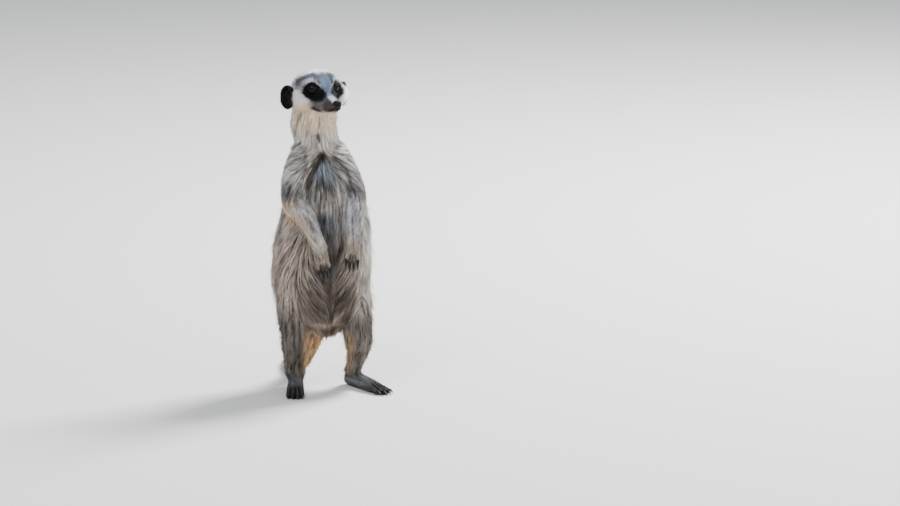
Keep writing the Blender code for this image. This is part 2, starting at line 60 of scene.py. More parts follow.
# The head's own axes, as the frame's eyes show them: the nose points along -Y.
HEAD_PLACE = np.array((1.3, -12.5, 279.2))
HEAD_YAW = math.radians(20)
EYE_PLACE = np.array((9.8, 2.6, -0.3))
EYE_RADIUS = 5.6
GAZE_OUTWARD, GAZE_UP = math.radians(36), math.radians(4)
NOSE_PLACE, NOSE_RADII = np.array((0, -25.6, -12.2)), np.array((3.9, 2.9, 3.5))
EAR_PLACE, EAR_RADII = np.array((27.6, 18.6, -9)), np.array((6.9, 9.9, 3.6))
EAR_OUTWARD = math.radians(56)

# Per kind of part: how far the skin lies inside the coat, and how long the hairs are.
COAT = {
    "head": (1.7, 4.6),
    "neck": (4.2, 10.5),
    "trunk": (6.0, 15.0),
    "tail": (2.4, 8.0),
    "upper_arm": (3.0, 8.0),
    "forearm": (1.5, 4.6),
    "hand": (0.8, 3.0),
    "thigh": (4.4, 13.0),
    "shank": (2.4, 7.5),
    "foot": (0.7, 3.2),
}
FLESH = ("head", "neck", "trunk", "tail") + tuple(
    f"{kind}_{word}" for kind in list(COAT)[4:] for word in SIDES
)


# ---------------------------------------------------------------- axes and numbers

def rotation_z(angle):
    c, s = math.cos(angle), math.sin(angle)
    return np.array(((c, -s, 0.0), (s, c, 0.0), (0.0, 0.0, 1.0)))


def node_middle(name):
    low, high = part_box(name)
    return (np.array(low) + np.array(high)) / 2 / MM


HEAD_TURN = rotation_z(HEAD_YAW)
EYE_MIDDLE = HEAD_PLACE + HEAD_TURN @ (EYE_PLACE * (0, 1, 1))
SHIFT = (node_middle("eye_left") + node_middle("eye_right")) / 2 - EYE_MIDDLE
FLOOR = -SHIFT[2]


def to_row(points):
    """From the animal's axes, in millimetres, to the row frame, in metres."""
    return (np.asarray(points) + SHIFT) * MM


def from_row(points):
    return np.asarray(points) / MM - SHIFT


def head_to_body(points):
    return np.asarray(points) @ HEAD_TURN.T + HEAD_PLACE


def body_to_head(points):
    return (np.asarray(points) - HEAD_PLACE) @ HEAD_TURN


def mirrored(in_head):
    """Places in the head's axes, all brought over to its left half."""
    return np.stack((np.abs(in_head[:, 0]), in_head[:, 1], in_head[:, 2]), axis=1)


def unit(vectors):
    length = np.linalg.norm(vectors, axis=-1, keepdims=True)
    return vectors / np.maximum(length, 1e-9)


def ramp(value, low, high):
    """0 below low, 1 above high and a smooth step between; it falls where low > high."""
    t = np.clip((value - low) / (high - low), 0.0, 1.0)
    return t * t * (3.0 - 2.0 * t)


def dome(u, wide, v=0.0, tall=1.0):
    """1 where u and v are 0, falling to 0 over a few widths and heights."""
    return np.exp(-((u / wide) ** 2) - (v / tall) ** 2)


def blob(points, centre, radii, edge=0.35):
    """1 inside an ellipsoid, fading to 0 over a share of its radii beyond it."""
    reach = np.linalg.norm((points - np.array(centre)) / np.array(radii), axis=-1)
    return ramp(reach, 1.0 + edge, 1.0 - edge)


def spots(points, ellipsoids):
    return np.clip(sum(blob(points, *ellipsoid, 0.5) for ellipsoid in ellipsoids), 0, 1)


def waves(points, period, seed):
    """Smooth pseudo-random values between about -1 and 1, from a few crossed waves."""
    rng = np.random.default_rng(seed)
    total = np.zeros(len(points))
    for _ in range(6):
        way = unit(rng.normal(size=3)) * rng.uniform(0.7, 1.5) / period
        total += np.sin(points @ way * FULL_TURN + rng.uniform(0, FULL_TURN))
    return total / 3.0


def from_line(points, line):
    """How far each point is from a line of straight stretches."""
    best = np.full(len(points), np.inf)
    for start, end in zip(line[:-1], line[1:]):
        step = end - start
        t = np.clip((points - start) @ step / (step @ step), 0.0, 1.0)
        best = np.minimum(best, np.linalg.norm(points - start - t[:, None] * step, axis=1))
    return best


def toward(colours, colour, share):
    share = share[:, None]
    return np.asarray(colours) * (1 - share) + np.asarray(colour) * share


def within(fields, limits, share=1.0):
    """The share times each limit. A limit is a field's name alone, for its own value, or
    with where it begins and is full, and these count from a middle if one comes first.
    """
    for field, *ends in limits:
        if field == "blob":
            factor = blob(fields["points"], *ends)
        elif not ends:
            factor = fields[field]
        elif len(ends) == 3:
            factor = ramp(np.abs(fields[field] - ends[0]), *ends[1:])
        else:
            factor = ramp(fields[field], *ends)
        share = share * factor
    return share


def marked(colours, marks, fields):
    """Lays a table of marks, each a colour, a strength and limits, over the colours."""
    for colour, strength, limits in marks.values():
        colours = toward(colours, colour, within(fields, limits) * strength)
    return colours


def kind_of(node):
    return node.replace("_left", "").replace("_right", "")


def part(shares, *names):
    """How much each point belongs to the parts of these names or kinds."""
    return sum(shares[:, k] for k, n in enumerate(FLESH) if n in names or kind_of(n) in names)


# ---------------------------------------------------------------- making meshes

def linked(name, data):
    obj = bpy.data.objects.new(name, data)
    bpy.context.scene.collection.objects.link(obj)
    return obj


def read(items, attribute, width=1, kind=float):
    """An attribute of all of a mesh's items, one row of numbers for each."""
    flat = np.empty(len(items) * width, dtype=kind)
    items.foreach_get(attribute, flat)
    return flat.reshape(-1, width) if width > 1 else flat


def new_object(name, points, faces):
    """A smooth object from points in the animal's axes and faces of any length."""
    mesh = bpy.data.meshes.new(name)
    mesh.from_pydata(to_row(points).tolist(), [], faces)
    mesh.shade_smooth()
    return linked(name, mesh)


def settle(obj):
    graph = bpy.context.evaluated_depsgraph_get()
    mesh = bpy.data.meshes.new_from_object(obj.evaluated_get(graph))
    obj.modifiers.clear()
    obj.data = mesh
    return obj


def add_map(mesh, flat):
    mesh.uv_layers.new(name="OFBake").data.foreach_set("uv", flat.ravel())


def paint(mesh, colours):
    """Stores a colour for each vertex, which the materials read."""
    layer = mesh.attributes.new("coat", "FLOAT_COLOR", "POINT")
    rgba = np.ones((len(mesh.vertices), 4))
    rgba[:, :3] = colours
    layer.data.foreach_set("color", rgba.ravel())


def tube_faces(rows, columns, start=0, capped=True):
    """The faces over rows of points that each close on themselves, and over both ends."""
    here = start + np.arange(rows * columns).reshape(rows, columns)
    after = np.roll(here, -1, axis=1)
    faces = np.stack((here[:-1], after[:-1], after[1:], here[1:]), axis=-1).reshape(-1, 4).tolist()
    if capped:
        faces += [here[0, ::-1].tolist(), here[-1].tolist()]
    return faces


def tube_object(name, rows, capped=True):
    """A skin over rows of points, with the columns across its map and the rows up it."""
    rows = np.asarray(rows)
    count, columns = rows.shape[:2]
    obj = new_object(name, rows.reshape(-1, 3), tube_faces(count, columns, capped=capped))
    mesh = obj.data
    bm = bmesh.new()
    bm.from_mesh(mesh)
    bmesh.ops.recalc_face_normals(bm, faces=bm.faces)
    bm.to_mesh(mesh)
    bm.free()
    layer = mesh.uv_layers.new(name="OFBake")
    for face in mesh.polygons:
        first = mesh.loops[face.loop_start].vertex_index % columns
        for loop in face.loop_indices:
            row, column = divmod(mesh.loops[loop].vertex_index, columns)
            if len(face.vertices) == 4 and column == 0 and first > columns / 2:
                column = columns
            elif len(face.vertices) == 4 and column == columns - 1 and first == 0:
                column = -1
            layer.data[loop].uv = (0.05 + 0.9 * column / columns, 0.05 + 0.9 * row / count)
    return obj


def turns_round(columns):
    return np.arange(columns) / columns * FULL_TURN


# ---------------------------------------------------------------- the skin

OUTLINE_VOXEL, SKIN_VOXEL = 1.0, 1.1
CUT_CLOSING = 0.25
BLEND_STEPS = 30
STREAK_STEP, STREAK_STEPS = 1.3, 6
ARM_PARTS = ("upper", "forearm", "hand")
# How far the digits reach back from the claws toward the heel of the paw.
DIGIT_SHARE = {"hand": 0.5, "foot": 0.36}
# The lie of the hair on each kind of part, from one place to another along it.
HAIR_RUNS = {
    "upper_arm_right": ((-16, -2, 226), (-28.5, -20, 172)),
    "upper_arm_left": ((12, -2, 226), (30, -18, 175)),
    "forearm_right": ((-27, -22, 173), (-6, -43, 134)),
    "forearm_left": ((29, -20, 175), (25, -38, 141)),
    "hand_right": ((-5.6, -43, 134), (-1, -45, 113)),
    "hand_left": ((24.8, -38, 141), (23, -41, 120)),
    "foot_right": ((-23, 12, 14), (-29, -45, 4)),
    "foot_left": ((26, 17, 14), (54, -34, 4)),
    "shank_right": ((-25, -2, 46), (-23.6, 11, 12)),
    "shank_left": ((33, -2, 46), (27, 15, 12)),
}
TAIL_LINE = np.array((
    (1.0, 26.0, 76.0), (-0.6, 41.0, 60.0), (-4.0, 51.0, 42.0), (-9.0, 60.0, 25.5),
    (-14.0, 70.5, 12.5), (-18.0, 84.0, 7.4), (-19.8, 101.0, 6.1), (-19.0, 119.0, 5.4),
    (-15.5, 137.0, 4.8), (-10.0, 154.0, 4.1), (-3.5, 169.0, 3.0),
))
WHORL = np.array((-1, -24, 219))
# Where the coat differs from its part's: the change of its depth and of the hairs' length,
# how much they shorten, and the limits of the place.
COAT_CHANGES = {
    "tail_end": (-0.9, -1, 0, (("along_tail", 0.75, 1), ("tail",))),
    "ankles": (0.6, 2.4, 0, (("foot",), ("z", 8, 15))),
    "whorl": (-1.2, 0, 0.5, (("blob", WHORL, (8, 14, 9), 0.6),)),
    "belly": (-1.8, -3, 0, (("y", 0, -20), ("z", 150, 100), ("x", 3, 26, 10), ("trunk",))),
    "hem": (-1.8, -6, 0, (("z", 84, 62), ("trunk",))),
    "throat": (-1.6, -4, 0, (("y", 2, -10), ("z", 232, 248), ("neck",))),
}
# Where the lips meet, from under the nose to the corner of the mouth, in the head's axes.
MOUTH = np.array((
    (0, -26, -16.4), (3.6, -22.5, -17), (5.4, -15.5, -18.6),
    (6.8, -9.2, -19.8), (9.2, -4.6, -19.4), (11.4, -1.2, -17.6),
))
LIP_LINE_DEPTH, LIP_LINE_WIDTH = 1.1, 0.75
# How far small forms of the face stand out, and where, in the head's axes.
FACE_FORMS = {
    "whisker_pad": (0.6, (5, -17.5, -12.6), (3, 4.2, 3), 0.8),
    "brow": (0.5, (13, -1, 7.6), (6, 5, 1.8), 0.8),
    "between_eyes": (-0.45, (0, -3, 6), (1.6, 6, 6), 0.8),
    "under_nose": (-0.5, (0, -25.5, -14.6), (0.7, 2.5, 2.4), 0.6),
    "lower_lip": (1.3, (3, -13, -19.5), (7, 9, 3.6), 0.8),
}


def joined_flesh():
    """The frame's flesh nodes as one mesh, with the cuts between them closed."""
    bm = bmesh.new()
    for name in FLESH:
        bm.from_mesh(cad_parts[name].data)
    mesh = bpy.data.meshes.new("skin")
    bm.to_mesh(mesh)
    bm.free()
    obj = linked("skin", mesh)
    grow = obj.modifiers.new("close_cuts", "DISPLACE")
    grow.strength, grow.mid_level = CUT_CLOSING * MM, 0.0
    return remeshed(obj, OUTLINE_VOXEL, 0.6, 8)


def remeshed(obj, voxel, smoothing, steps):
    remesh = obj.modifiers.new("even", "REMESH")
    remesh.mode, remesh.voxel_size = "VOXEL", voxel * MM
    smooth = obj.modifiers.new("smooth", "SMOOTH")
    smooth.factor, smooth.iterations = smoothing, steps
    settle(obj).data.shade_smooth()
    return obj


def tree_of(names):
    """A search tree over the frame's meshes of these nodes, and each triangle's node."""
    corners, faces, owners = [], [], []
    for index, name in enumerate(names):
        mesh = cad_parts[name].data
        start = len(corners)
        corners += [tuple(from_row(v.co)) for v in mesh.vertices]
        faces += [[start + v for v in face.vertices] for face in mesh.polygons]
        owners += [index] * len(mesh.polygons)
    return BVHTree.FromPolygons(corners, faces), np.array(owners)


def along_tail(points):
    """For each point: how far along the tail it is, from 0 to 1, and the tail's direction."""
    steps = np.diff(TAIL_LINE, axis=0)
    lengths = np.linalg.norm(steps, axis=1)
    before = np.concatenate(((0.0,), np.cumsum(lengths)))
    best = np.full(len(points), np.inf)
    share, way = np.zeros(len(points)), np.zeros((len(points), 3))
    for k, step in enumerate(steps):
        t = np.clip(((points - TAIL_LINE[k]) @ step) / lengths[k] ** 2, 0.0, 1.0)
        gap = np.linalg.norm(points - TAIL_LINE[k] - t[:, None] * step, axis=1)
        closer = gap < best
        best[closer] = gap[closer]
        share[closer] = ((before[k] + t * lengths[k]) / before[-1])[closer]
        way[closer] = step / lengths[k]
    return share, way


def body_fields(points, shares):
    """The named values that the body's limits are set on."""
    x, y, z = points.T
    fields = {name: part(shares, name) for name in (*FLESH, *COAT)}
    return fields | {"points": points, "x": x, "y": y, "z": z, "along_tail": along_tail(points)[0]}


def coat_at(points, shares):
    """Depth of the skin inside the coat, and length of the hairs, at each point."""
    depth, length = sum(shares[:, k, None] * COAT[kind_of(n)] for k, n in enumerate(FLESH)).T
    _, y, z = body_to_head(points).T
    head = part(shares, "head")
    face = head * ramp(y, 12, -6) * ramp(z, -24, -12)
    depth = depth * (1 - face) + face * (0.9 - 0.3 * ramp(y, -8, -20))
    length = length * (1 - face) + face * (3 - 1.5 * ramp(y, -4, -20))
    cheek = head * ramp(y, 2, 12) * ramp(z, 2, -8)
    depth, length = depth + 1.2 * cheek, length + 2.5 * cheek * ramp(y, 13, 7)
    fields = body_fields(points, shares)
    for deeper, longer, shorter, limits in COAT_CHANGES.values():
        share = within(fields, limits)
        depth, length = depth + deeper * share, length * (1 - shorter * share) + longer * share
    return np.stack((depth, length), axis=1)


class Surface:
    """A mesh that hair grows on, with its points in the animal's axes."""

    def __init__(self, obj):
        self.object, self.mesh = obj, obj.data
        a, b = read(self.mesh.edges, "vertices", 2, int).T
        self.here, self.there = np.concatenate((a, b)), np.concatenate((b, a))
        self.degree = np.maximum(np.bincount(self.here, minlength=len(self.mesh.vertices)), 1)
        self.points = from_row(read(self.mesh.vertices, "co", 3))
        self.normals = read(self.mesh.vertex_normals, "vector", 3)
        self.streaks = self.depth = np.zeros(len(self.points))

    def smoothed(self, values, times, share=0.7):
        """The values averaged over the edges of the mesh."""
        count = len(self.degree)
        columns = values.reshape(count, -1)
        for _ in range(times):
            sums = [np.bincount(self.here, c[self.there], count) for c in columns.T]
            mean = np.stack(sums, axis=1) / self.degree[:, None]
            columns = columns * (1 - share) + mean * share
        return columns.reshape(values.shape)

    def add_coat_fields(self):
        """How much of each part every point belongs to, and the coat's depth and length."""
        tree, owners = tree_of(FLESH)
        owner = owners[[tree.find_nearest(tuple(point))[2] for point in self.points.tolist()]]
        self.shares = self.smoothed(np.eye(len(FLESH))[owner], 14)
        self.soft_shares = self.smoothed(self.shares, BLEND_STEPS)
        self.depth, self.length = self.smoothed(coat_at(self.points, self.shares), BLEND_STEPS).T

    def shape(self, points):
        self.points = points
        self.mesh.vertices.foreach_set("co", to_row(points).ravel())
        self.mesh.update()
        self.normals = read(self.mesh.vertex_normals, "vector", 3)

    def index_triangles(self):
        self.mesh.calc_loop_triangles()
        self.triangles = read(self.mesh.loop_triangles, "vertices", 3, int)
        a, b, c = (self.points[self.triangles[:, k]] for k in range(3))
        self.areas = np.linalg.norm(np.cross(b - a, c - a), axis=1) / 2
        self.tree = BVHTree.FromPolygons(
            [tuple(p) for p in self.points], self.triangles.tolist(), all_triangles=True
        )

    def nearest(self, points):
        """The nearest place on the skin to each point, and the triangle that it is in."""
        found = [self.tree.find_nearest(tuple(point)) for point in points.tolist()]
        return np.array([tuple(f[0]) for f in found]), np.array([f[2] for f in found])

    def mean(self, values, triangles=slice(None)):
        return values[self.triangles[triangles]].mean(axis=1)

    def at(self, values, triangles, corners):
        """The values at places in triangles, given as shares of the corners."""
        picked = values[self.triangles[triangles]]
        return (picked * (corners[:, :, None] if picked.ndim == 3 else corners)).sum(axis=1)

    def along(self, ways):
        """Directions laid flat on the surface."""
        return unit(ways - self.normals * (ways * self.normals).sum(1, keepdims=True))


def hair_ways(skin):
    """The direction in which the hair lies at each point of the skin."""
    x, y, z = skin.points.T
    none, one = np.zeros_like(x), np.ones_like(x)
    front = ramp(y, 6, -14)
    away = skin.points - WHORL

    in_head = body_to_head(skin.points)
    from_nose = in_head - (NOSE_PLACE + (0, -2, 3))
    from_nose[:, 2] -= 6 * ramp(in_head[:, 2], 0, -16)
    side = np.where(in_head[:, :1] < 0, -1.0, 1.0)
    from_eye = in_head - EYE_PLACE * np.concatenate((side, side * side, side * side), axis=1)
    near = ramp(np.linalg.norm(from_eye, axis=1), 13, 8)[:, None] * 0.75
    on_head = (unit(from_nose) * (1 - near) + unit(from_eye) * near) @ HEAD_TURN.T

    middle = 1.5 + 2.5 * ramp(z, 200, 110)
    down = np.stack((none, 0.25 * ramp(y, 0, 20), -one), axis=1)
    low = ramp(z, 150, 112) * ramp(y, -2, -16) * (0.45 + 0.55 * ramp(z, 62, 78))
    down[:, 0] -= np.tanh((x - middle) / 9) * low * ramp(np.abs(x - middle), 34, 18)
    flank = ramp(x, -8, -20) * ramp(z, 172, 156) * ramp(z, 96, 122)
    down[:, 0] -= 0.55 * flank * ramp(y, 26, 4)
    high = (ramp(z, 165, 205) * ramp(y, 14, -6))[:, None]
    spread = unit(away * (1.2, 0.3, 1)) + (0, 0, -0.5)
    down = down * (1 - high * 0.75) + spread * high * 0.75

    on_neck = np.stack((0.028 * (x + 5) * front, none, -one), axis=1)
    whole = {"head": on_head, "neck": on_neck, "trunk": down, "tail": along_tail(skin.points)[1]}
    ways = np.zeros_like(skin.points)
    for index, name in enumerate(FLESH):
        if name in whole:
            way = whole[name]
        elif name in HAIR_RUNS:
            start, end = (np.array(p) for p in HAIR_RUNS[name])
            way = unit(end - start)
            if name.startswith("upper"):
                sweep = ramp(z, 176, 206)[:, None]
                way = way * (1 - 0.7 * sweep) + unit(away * (1, 0.5, 0.6)) * 0.7 * sweep
        else:
            side = SIDES[name.split("_")[1]]
            way = np.stack((0.12 * side * one, 0.30 - 0.1 * front, -one), 1)
            way[:, 0] -= 0.5 * side * front * ramp(z, 60, 95)
        ways += skin.shares[:, index, None] * way
    return skin.along(ways)


def claw_ends(node):
    """The root and the tip of one of the frame's claws, and the claw's half width."""
    corners = from_row(read(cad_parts[node].data.vertices, "co", 3))
    paw = from_row(read(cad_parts[node.split("_claw")[0]].data.vertices, "co", 3))
    middle = corners.mean(axis=0)
    reach = (corners - middle) @ unit(middle - paw.mean(axis=0))
    root = corners[reach < np.percentile(reach, 22)].mean(axis=0)
    tip = corners[reach.argmax()]
    aside = np.linalg.norm(np.cross(corners - root, unit(tip - root)), axis=1)
    return root, tip, aside[reach < 0].max()


def digits(points):
    """On the paws' ends: 1 in the clefts between the digits, and 1 along their backs."""
    cleft, ridge = np.zeros(len(points)), np.zeros(len(points))
    for paw in (kind + "_" + word for kind in DIGIT_SHARE for word in SIDES):
        claws = [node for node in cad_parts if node.startswith(paw + "_claw")]
        roots = [claw_ends(claw)[0] for claw in claws]
        near = np.linalg.norm(points - np.mean(roots, axis=0), axis=1) < 22
        gaps, along = [], []
        for root in roots:
            step = (np.array(HAIR_RUNS[paw][0]) - root) * DIGIT_SHARE[kind_of(paw)]
            t = (points[near] - root) @ step / (step @ step)
            gaps.append(np.linalg.norm(points[near] - root - t[:, None] * step, axis=1))
            along.append(t)
        order = np.sort(np.array(gaps), axis=0)
        there = ramp(np.mean(along, axis=0), 1.1, 0.6) * ramp(order[0], 5, 3)
        cleft[near] = dome(order[1] - order[0], 1.3) * there
        ridge[near] = dome(order[0], 1.6) * there
    return cleft, ridge


def with_fine_face(obj):
    """Halves the edges on the face and at the paws' ends, where small forms are shaped."""
    bm = bmesh.new()
    bm.from_mesh(obj.data)
    body = from_row(read(obj.data.vertices, "co", 3))
    places = body_to_head(body)
    fine = (places[:, 1] < 16) & (places[:, 2] > -26)
    fine |= sum(digits(body)) > 0.02
    edges = [e for e in bm.edges if fine[e.verts[0].index] and fine[e.verts[1].index]]
    bmesh.ops.subdivide_edges(bm, edges=edges, cuts=1, use_grid_fill=True)
    bmesh.ops.triangulate(bm, faces=[f for f in bm.faces if len(f.verts) > 4])
    for face in bm.faces:
        face.smooth = True
    bm.to_mesh(obj.data)
    bm.free()
    return obj


def face_relief(points):
    """How far the face stands out, in millimetres: lips, whisker pads, brows and rims."""
    p = mirrored(body_to_head(points))
    gap = from_line(p, MOUTH)
    relief = -LIP_LINE_DEPTH * dome(gap, LIP_LINE_WIDTH)
    relief += (0.25 + 0.35 * ramp(p[:, 2], -19.5, -18)) * dome(gap - 2, 1.2)
    for height, *place in FACE_FORMS.values():
        relief += height * blob(p, *place)
    return relief


def streaked(surface):
    """Random values drawn out along the lie of the hair, about 0 with a spread of 1."""
    tree = KDTree(len(surface.points))
    for index, point in enumerate(surface.points.tolist()):
        tree.insert(point, index)
    tree.balance()
    ahead = surface.points + surface.ways * STREAK_STEP
    onward = np.array([tree.find(place)[1] for place in ahead.tolist()])
    values = np.random.default_rng(8).standard_normal(len(onward))
    total, count = values.copy(), np.ones(len(onward))
    there = np.arange(len(onward))
    for _ in range(STREAK_STEPS):
        there = onward[there]
        total += values[there]
        np.add.at(total, there, values)
        np.add.at(count, there, 1.0)
        count += 1.0
    total = total / np.sqrt(count)
    return (total - total.mean()) / total.std()


def make_skin():
    outline = Surface(joined_flesh())
    outline.add_coat_fields()
    normals = unit(outline.smoothed(outline.normals, 4))
    inner = outline.points - normals * outline.depth[:, None]
    outline.shape(outline.smoothed(inner, 3, 0.5))
    skin = Surface(with_fine_face(remeshed(outline.object, SKIN_VOXEL, 0.5, 3)))
    skin.add_coat_fields()
    cleft, ridge = digits(skin.points)
    relief = face_relief(skin.points) - cleft + 0.4 * ridge
    skin.shape(skin.points + skin.normals * relief[:, None])
    skin.normals = unit(skin.smoothed(skin.normals, 3))
    skin.ways = unit(skin.smoothed(hair_ways(skin), 8))
    skin.streaks = streaked(skin)
    skin.index_triangles()
    skin.arms = tree_of([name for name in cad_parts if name.split("_")[0] in ARM_PARTS])[0]
    return skin


# ---------------------------------------------------------------- where the eyes are

LID_OPEN_ACROSS, LID_OPEN_UP = math.radians(43), math.radians(29)
TEAR_TURN, TEAR_WIDTH, TEAR_DEPTH = math.pi * 1.04, 0.22, math.radians(7)


def eye_frame(side):
    """The way an eye looks, across it toward the ear, and up it, in the head's axes."""
    level = math.cos(GAZE_UP)
    look = np.array((
        side * math.sin(GAZE_OUTWARD) * level, -math.cos(GAZE_OUTWARD) * level, math.sin(GAZE_UP)
    ))
    across = unit(np.cross((0, 0, 1), look)) * side
    return look, across, np.cross(look, across) * side


def lid_edge(turn):
    """How far the lids open, as an angle from the middle: an almond with a tear corner."""
    across, up = np.cos(turn), np.sin(turn)
    opening = 1 / np.sqrt((across / LID_OPEN_ACROSS) ** 2 + (up / LID_OPEN_UP) ** 2)
    return opening + dome(turn - TEAR_TURN, TEAR_WIDTH) * TEAR_DEPTH


def on_lids(in_head):
    """1 on the eyes and the bare edge of their lids, and 0 past it."""
    look, across, up = eye_frame(1)
    from_eye = mirrored(in_head) - EYE_PLACE
    aside, above = from_eye @ across, from_eye @ up
    angle = np.arctan2(np.hypot(aside, above), from_eye @ look)
    past = np.degrees(angle - lid_edge(np.arctan2(above, aside) % FULL_TURN))
    return ramp(past, 20, 13) * ramp(np.linalg.norm(from_eye, axis=1), 12, 9.5)


# ---------------------------------------------------------------- the coat's markings and painted light and shade

BLACK = (0.0062, 0.0058, 0.0068)
BROW = np.array(((18, 8.5, 7.6), (14.5, 4.5, 8.8), (10.5, 0.5, 8.6)))
FOREHEAD_BAND = np.array((
    (20, 14, 5.6), (15.6, 9.5, 9.6), (9.6, 6, 12), (6.4, 0, 10.2), (5.2, -4, 7.4),
))
# The markings, with painted light (sunlight on the crown and a flank, a highlight on the snout), in
# the order in which they are laid on: a colour, its strength and its limits.
HEAD_COLOUR = (0.66, 0.62, 0.64)
HEAD_MARKS = {
    "throat_shade": ((0.90, 0.69, 0.50), 0.95, (("mottled_z", -9, -15),)),
    "cheek": ((0.80, 0.75, 0.76), 1, (("blob", (20, 2, -8), (8, 8, 7), 0.6), ("z", -15, -9))),
    # Painted sunlight: the crown's pale fur is painted near white where light falls on the top of
    # the head.
    "crown": ((0.96, 0.96, 0.97), 1, (("z", 8, 13),)),
    "nape": ((0.42, 0.355, 0.28), 0.85, (("y", 14, 27),)),
    "forehead": ((0.36, 0.40, 0.47), 1, (
        ("from_band", 9, 5.5), ("y", 16, 9), ("z", 15, 12.5), ("forehead_tone",),
    )),
    "temple": ((0.22, 0.19, 0.19), 0.8, (("blob", (22, 9, 3.5), (4.5, 5.5, 5), 0.5),)),
    "brow": ((0.66, 0.72, 0.80), 0.6, (("from_brow", 3, 1.2),)),
    "band": ((0.060, 0.072, 0.105), 0.9, (("mottled_band", 4.8, 2.6),)),
    "median": ((0.09, 0.11, 0.15), 0.85, (("x", 2.4, 0.6), ("y", 9, 3), ("y", -12, -7))),
    "between_eyes": ((0.112, 0.145, 0.195), 0.9, (
        ("x", 5.6, 3.6), ("x", 0.8, 2.2), ("y", 6, 0), ("z", 1, 4),
    )),
    "bridge": ((0.15, 0.205, 0.29), 0.92, (("x", 6.8, 4.2), ("y", 2, -4), ("z", -14, -9))),
    "muzzle_side": ((0.082, 0.085, 0.108), 1, (
        ("y", 4.5, -2.5), ("z", -20.5, -18), ("z", -2, -6.5), ("x", 17.5, 12), ("side_tone",),
    )),
    "snout": ((0.062, 0.052, 0.050), 0.85, (
        ("y", -12, -18), ("z", -20.5, -18), ("z", -8.5, -10.5),
    )),
    # Painted highlight on the top of the snout, near the nose.
    "snout_highlight": ((0.62, 0.70, 0.78), 0.75, (("x", 4.2, 2), ("y", -11, -15), ("z", -12, -9.5))),
    "lips": ((0.016, 0.012, 0.012), 0.95, (("from_mouth", 1.9, 0.8),)),
    "chin": ((0.80, 0.60, 0.48), 0.8, (("blob", (0, -17, -22.6), (7, 9, 2.6), 0.3),)),
}
STRIP = (("front",), ("x", 1, 17, 5), ("z", 222, 208), ("z", 60, 110))
TRUNK_COLOUR = (0.35, 0.297, 0.25)
TRUNK_MARKS = {
    "flanks": ((0.455, 0.38, 0.327), 1, (("x", 1, 22, 36), ("z", 185, 150), ("z", 50, 85))),
    "sunny_flank": ((0.62, 0.57, 0.50), 0.8, (
        ("x", 27, 38), ("y", 24, 4), ("z", 60, 95), ("z", 215, 190),
    )),
    "shoulders": ((0.56, 0.52, 0.47), 1, (("z", 208, 238), ("mostly_front",))),
    "throat": ((0.88, 0.70, 0.52), 1, (("front",), ("z", 232, 250))),
    "chest": ((0.40, 0.38, 0.37), 0.75, (("front",), ("z", 220, 200), ("z", 140, 165))),
    "strip": ((0.105, 0.111, 0.128), 1, (*STRIP, ("strip_tone",))),
    "blue_strip": ((0.175, 0.195, 0.235), 0.8, (*STRIP, ("z", 194, 203))),
    "pale_chest": ((0.50, 0.45, 0.41), 0.5, (("front",), ("pale",), ("x", 4, 24, 12))),
    "belly": ((0.12, 0.096, 0.08), 1, (
        ("front",), ("z", 160, 135), ("belly_middle",), ("belly_tone",),
    )),
    "back": ((0.27, 0.225, 0.165), 0.85, (("y", 6, 22),)),
    "back_bands": ((0.058, 0.043, 0.034), 0.92, (
        ("y", 6, 22), ("z", 48, 66), ("z", 185, 160), ("bands", 0.35, 0.85),
    )),
}
LIMB_COLOURS = {
    "upper_arm": (0.42, 0.40, 0.39),
    "forearm": (0.44, 0.43, 0.445),
    "hand": (0.34, 0.28, 0.225),
    "thigh": (0.15, 0.135, 0.122),
    "shank": (0.18, 0.155, 0.13),
    "foot": (0.13, 0.132, 0.14),
}
ARM_MARKS = {
    "upper_arm": ((0.145, 0.138, 0.14), 0.8, (("upper_arm",), ("z", 204, 186))),
    "right_wrist": ((0.44, 0.37, 0.30), 0.8, (("forearm_right",), ("z", 158, 140))),
    "left_wrist": ((0.38, 0.34, 0.31), 0.8, (("forearm_left",), ("z", 156, 144))),
}
# How dark the paws get toward their claws, and from where along them.
DARK_FINGERS = {"hand": ((0.11, 0.086, 0.07), 0.5), "foot": ((0.034, 0.033, 0.037), 0.44)}
ELBOWS = (((-29, -19, 168), (11, 13, 13)), ((33, -17, 173), (6, 10, 9)))
NIPPLES = [(place, (2.6, 9, 3.2)) for place in ((-14, -32, 108.5), (-8, -30, 80), (4, -12, 55))]
LATER_MARKS = {
    "elbows": ((0.82, 0.56, 0.36), 0.85, (("elbows",),)),
    "under_forearm": ((0.60, 0.43, 0.30), 0.7, (
        ("x", -12, -21), ("y", -20, -28), ("z", 172, 162), ("forearm_right",),
    )),
    "inner_legs": ((0.52, 0.33, 0.18), 1, (
        ("legs",), ("x", 4, 27, 17), ("z", 68, 44), ("inner_tone",),
    )),
    "hem": ((0.38, 0.285, 0.20), 1, (("trunk",), ("z", 66, 54), ("x", 4.5, 3, 8), ("hem_tone",))),
    "behind_legs": ((0.36, 0.27, 0.18), 0.6, (("y", 4, 14), ("legs",))),
    "groin": ((0.38, 0.30, 0.235), 0.9, (("blob", (3, -12, 66), (14, 18, 8), 0.5),)),
    "tail": ((0.50, 0.31, 0.165), 1, (("tail",), ("along_tail", 0, 0.22))),
    "tail_tip": (BLACK, 1, (("tail",), ("along_tail", 0.76, 0.83))),
    "nipples": ((0.05, 0.036, 0.03), 0.75, (("nipples",),)),
}
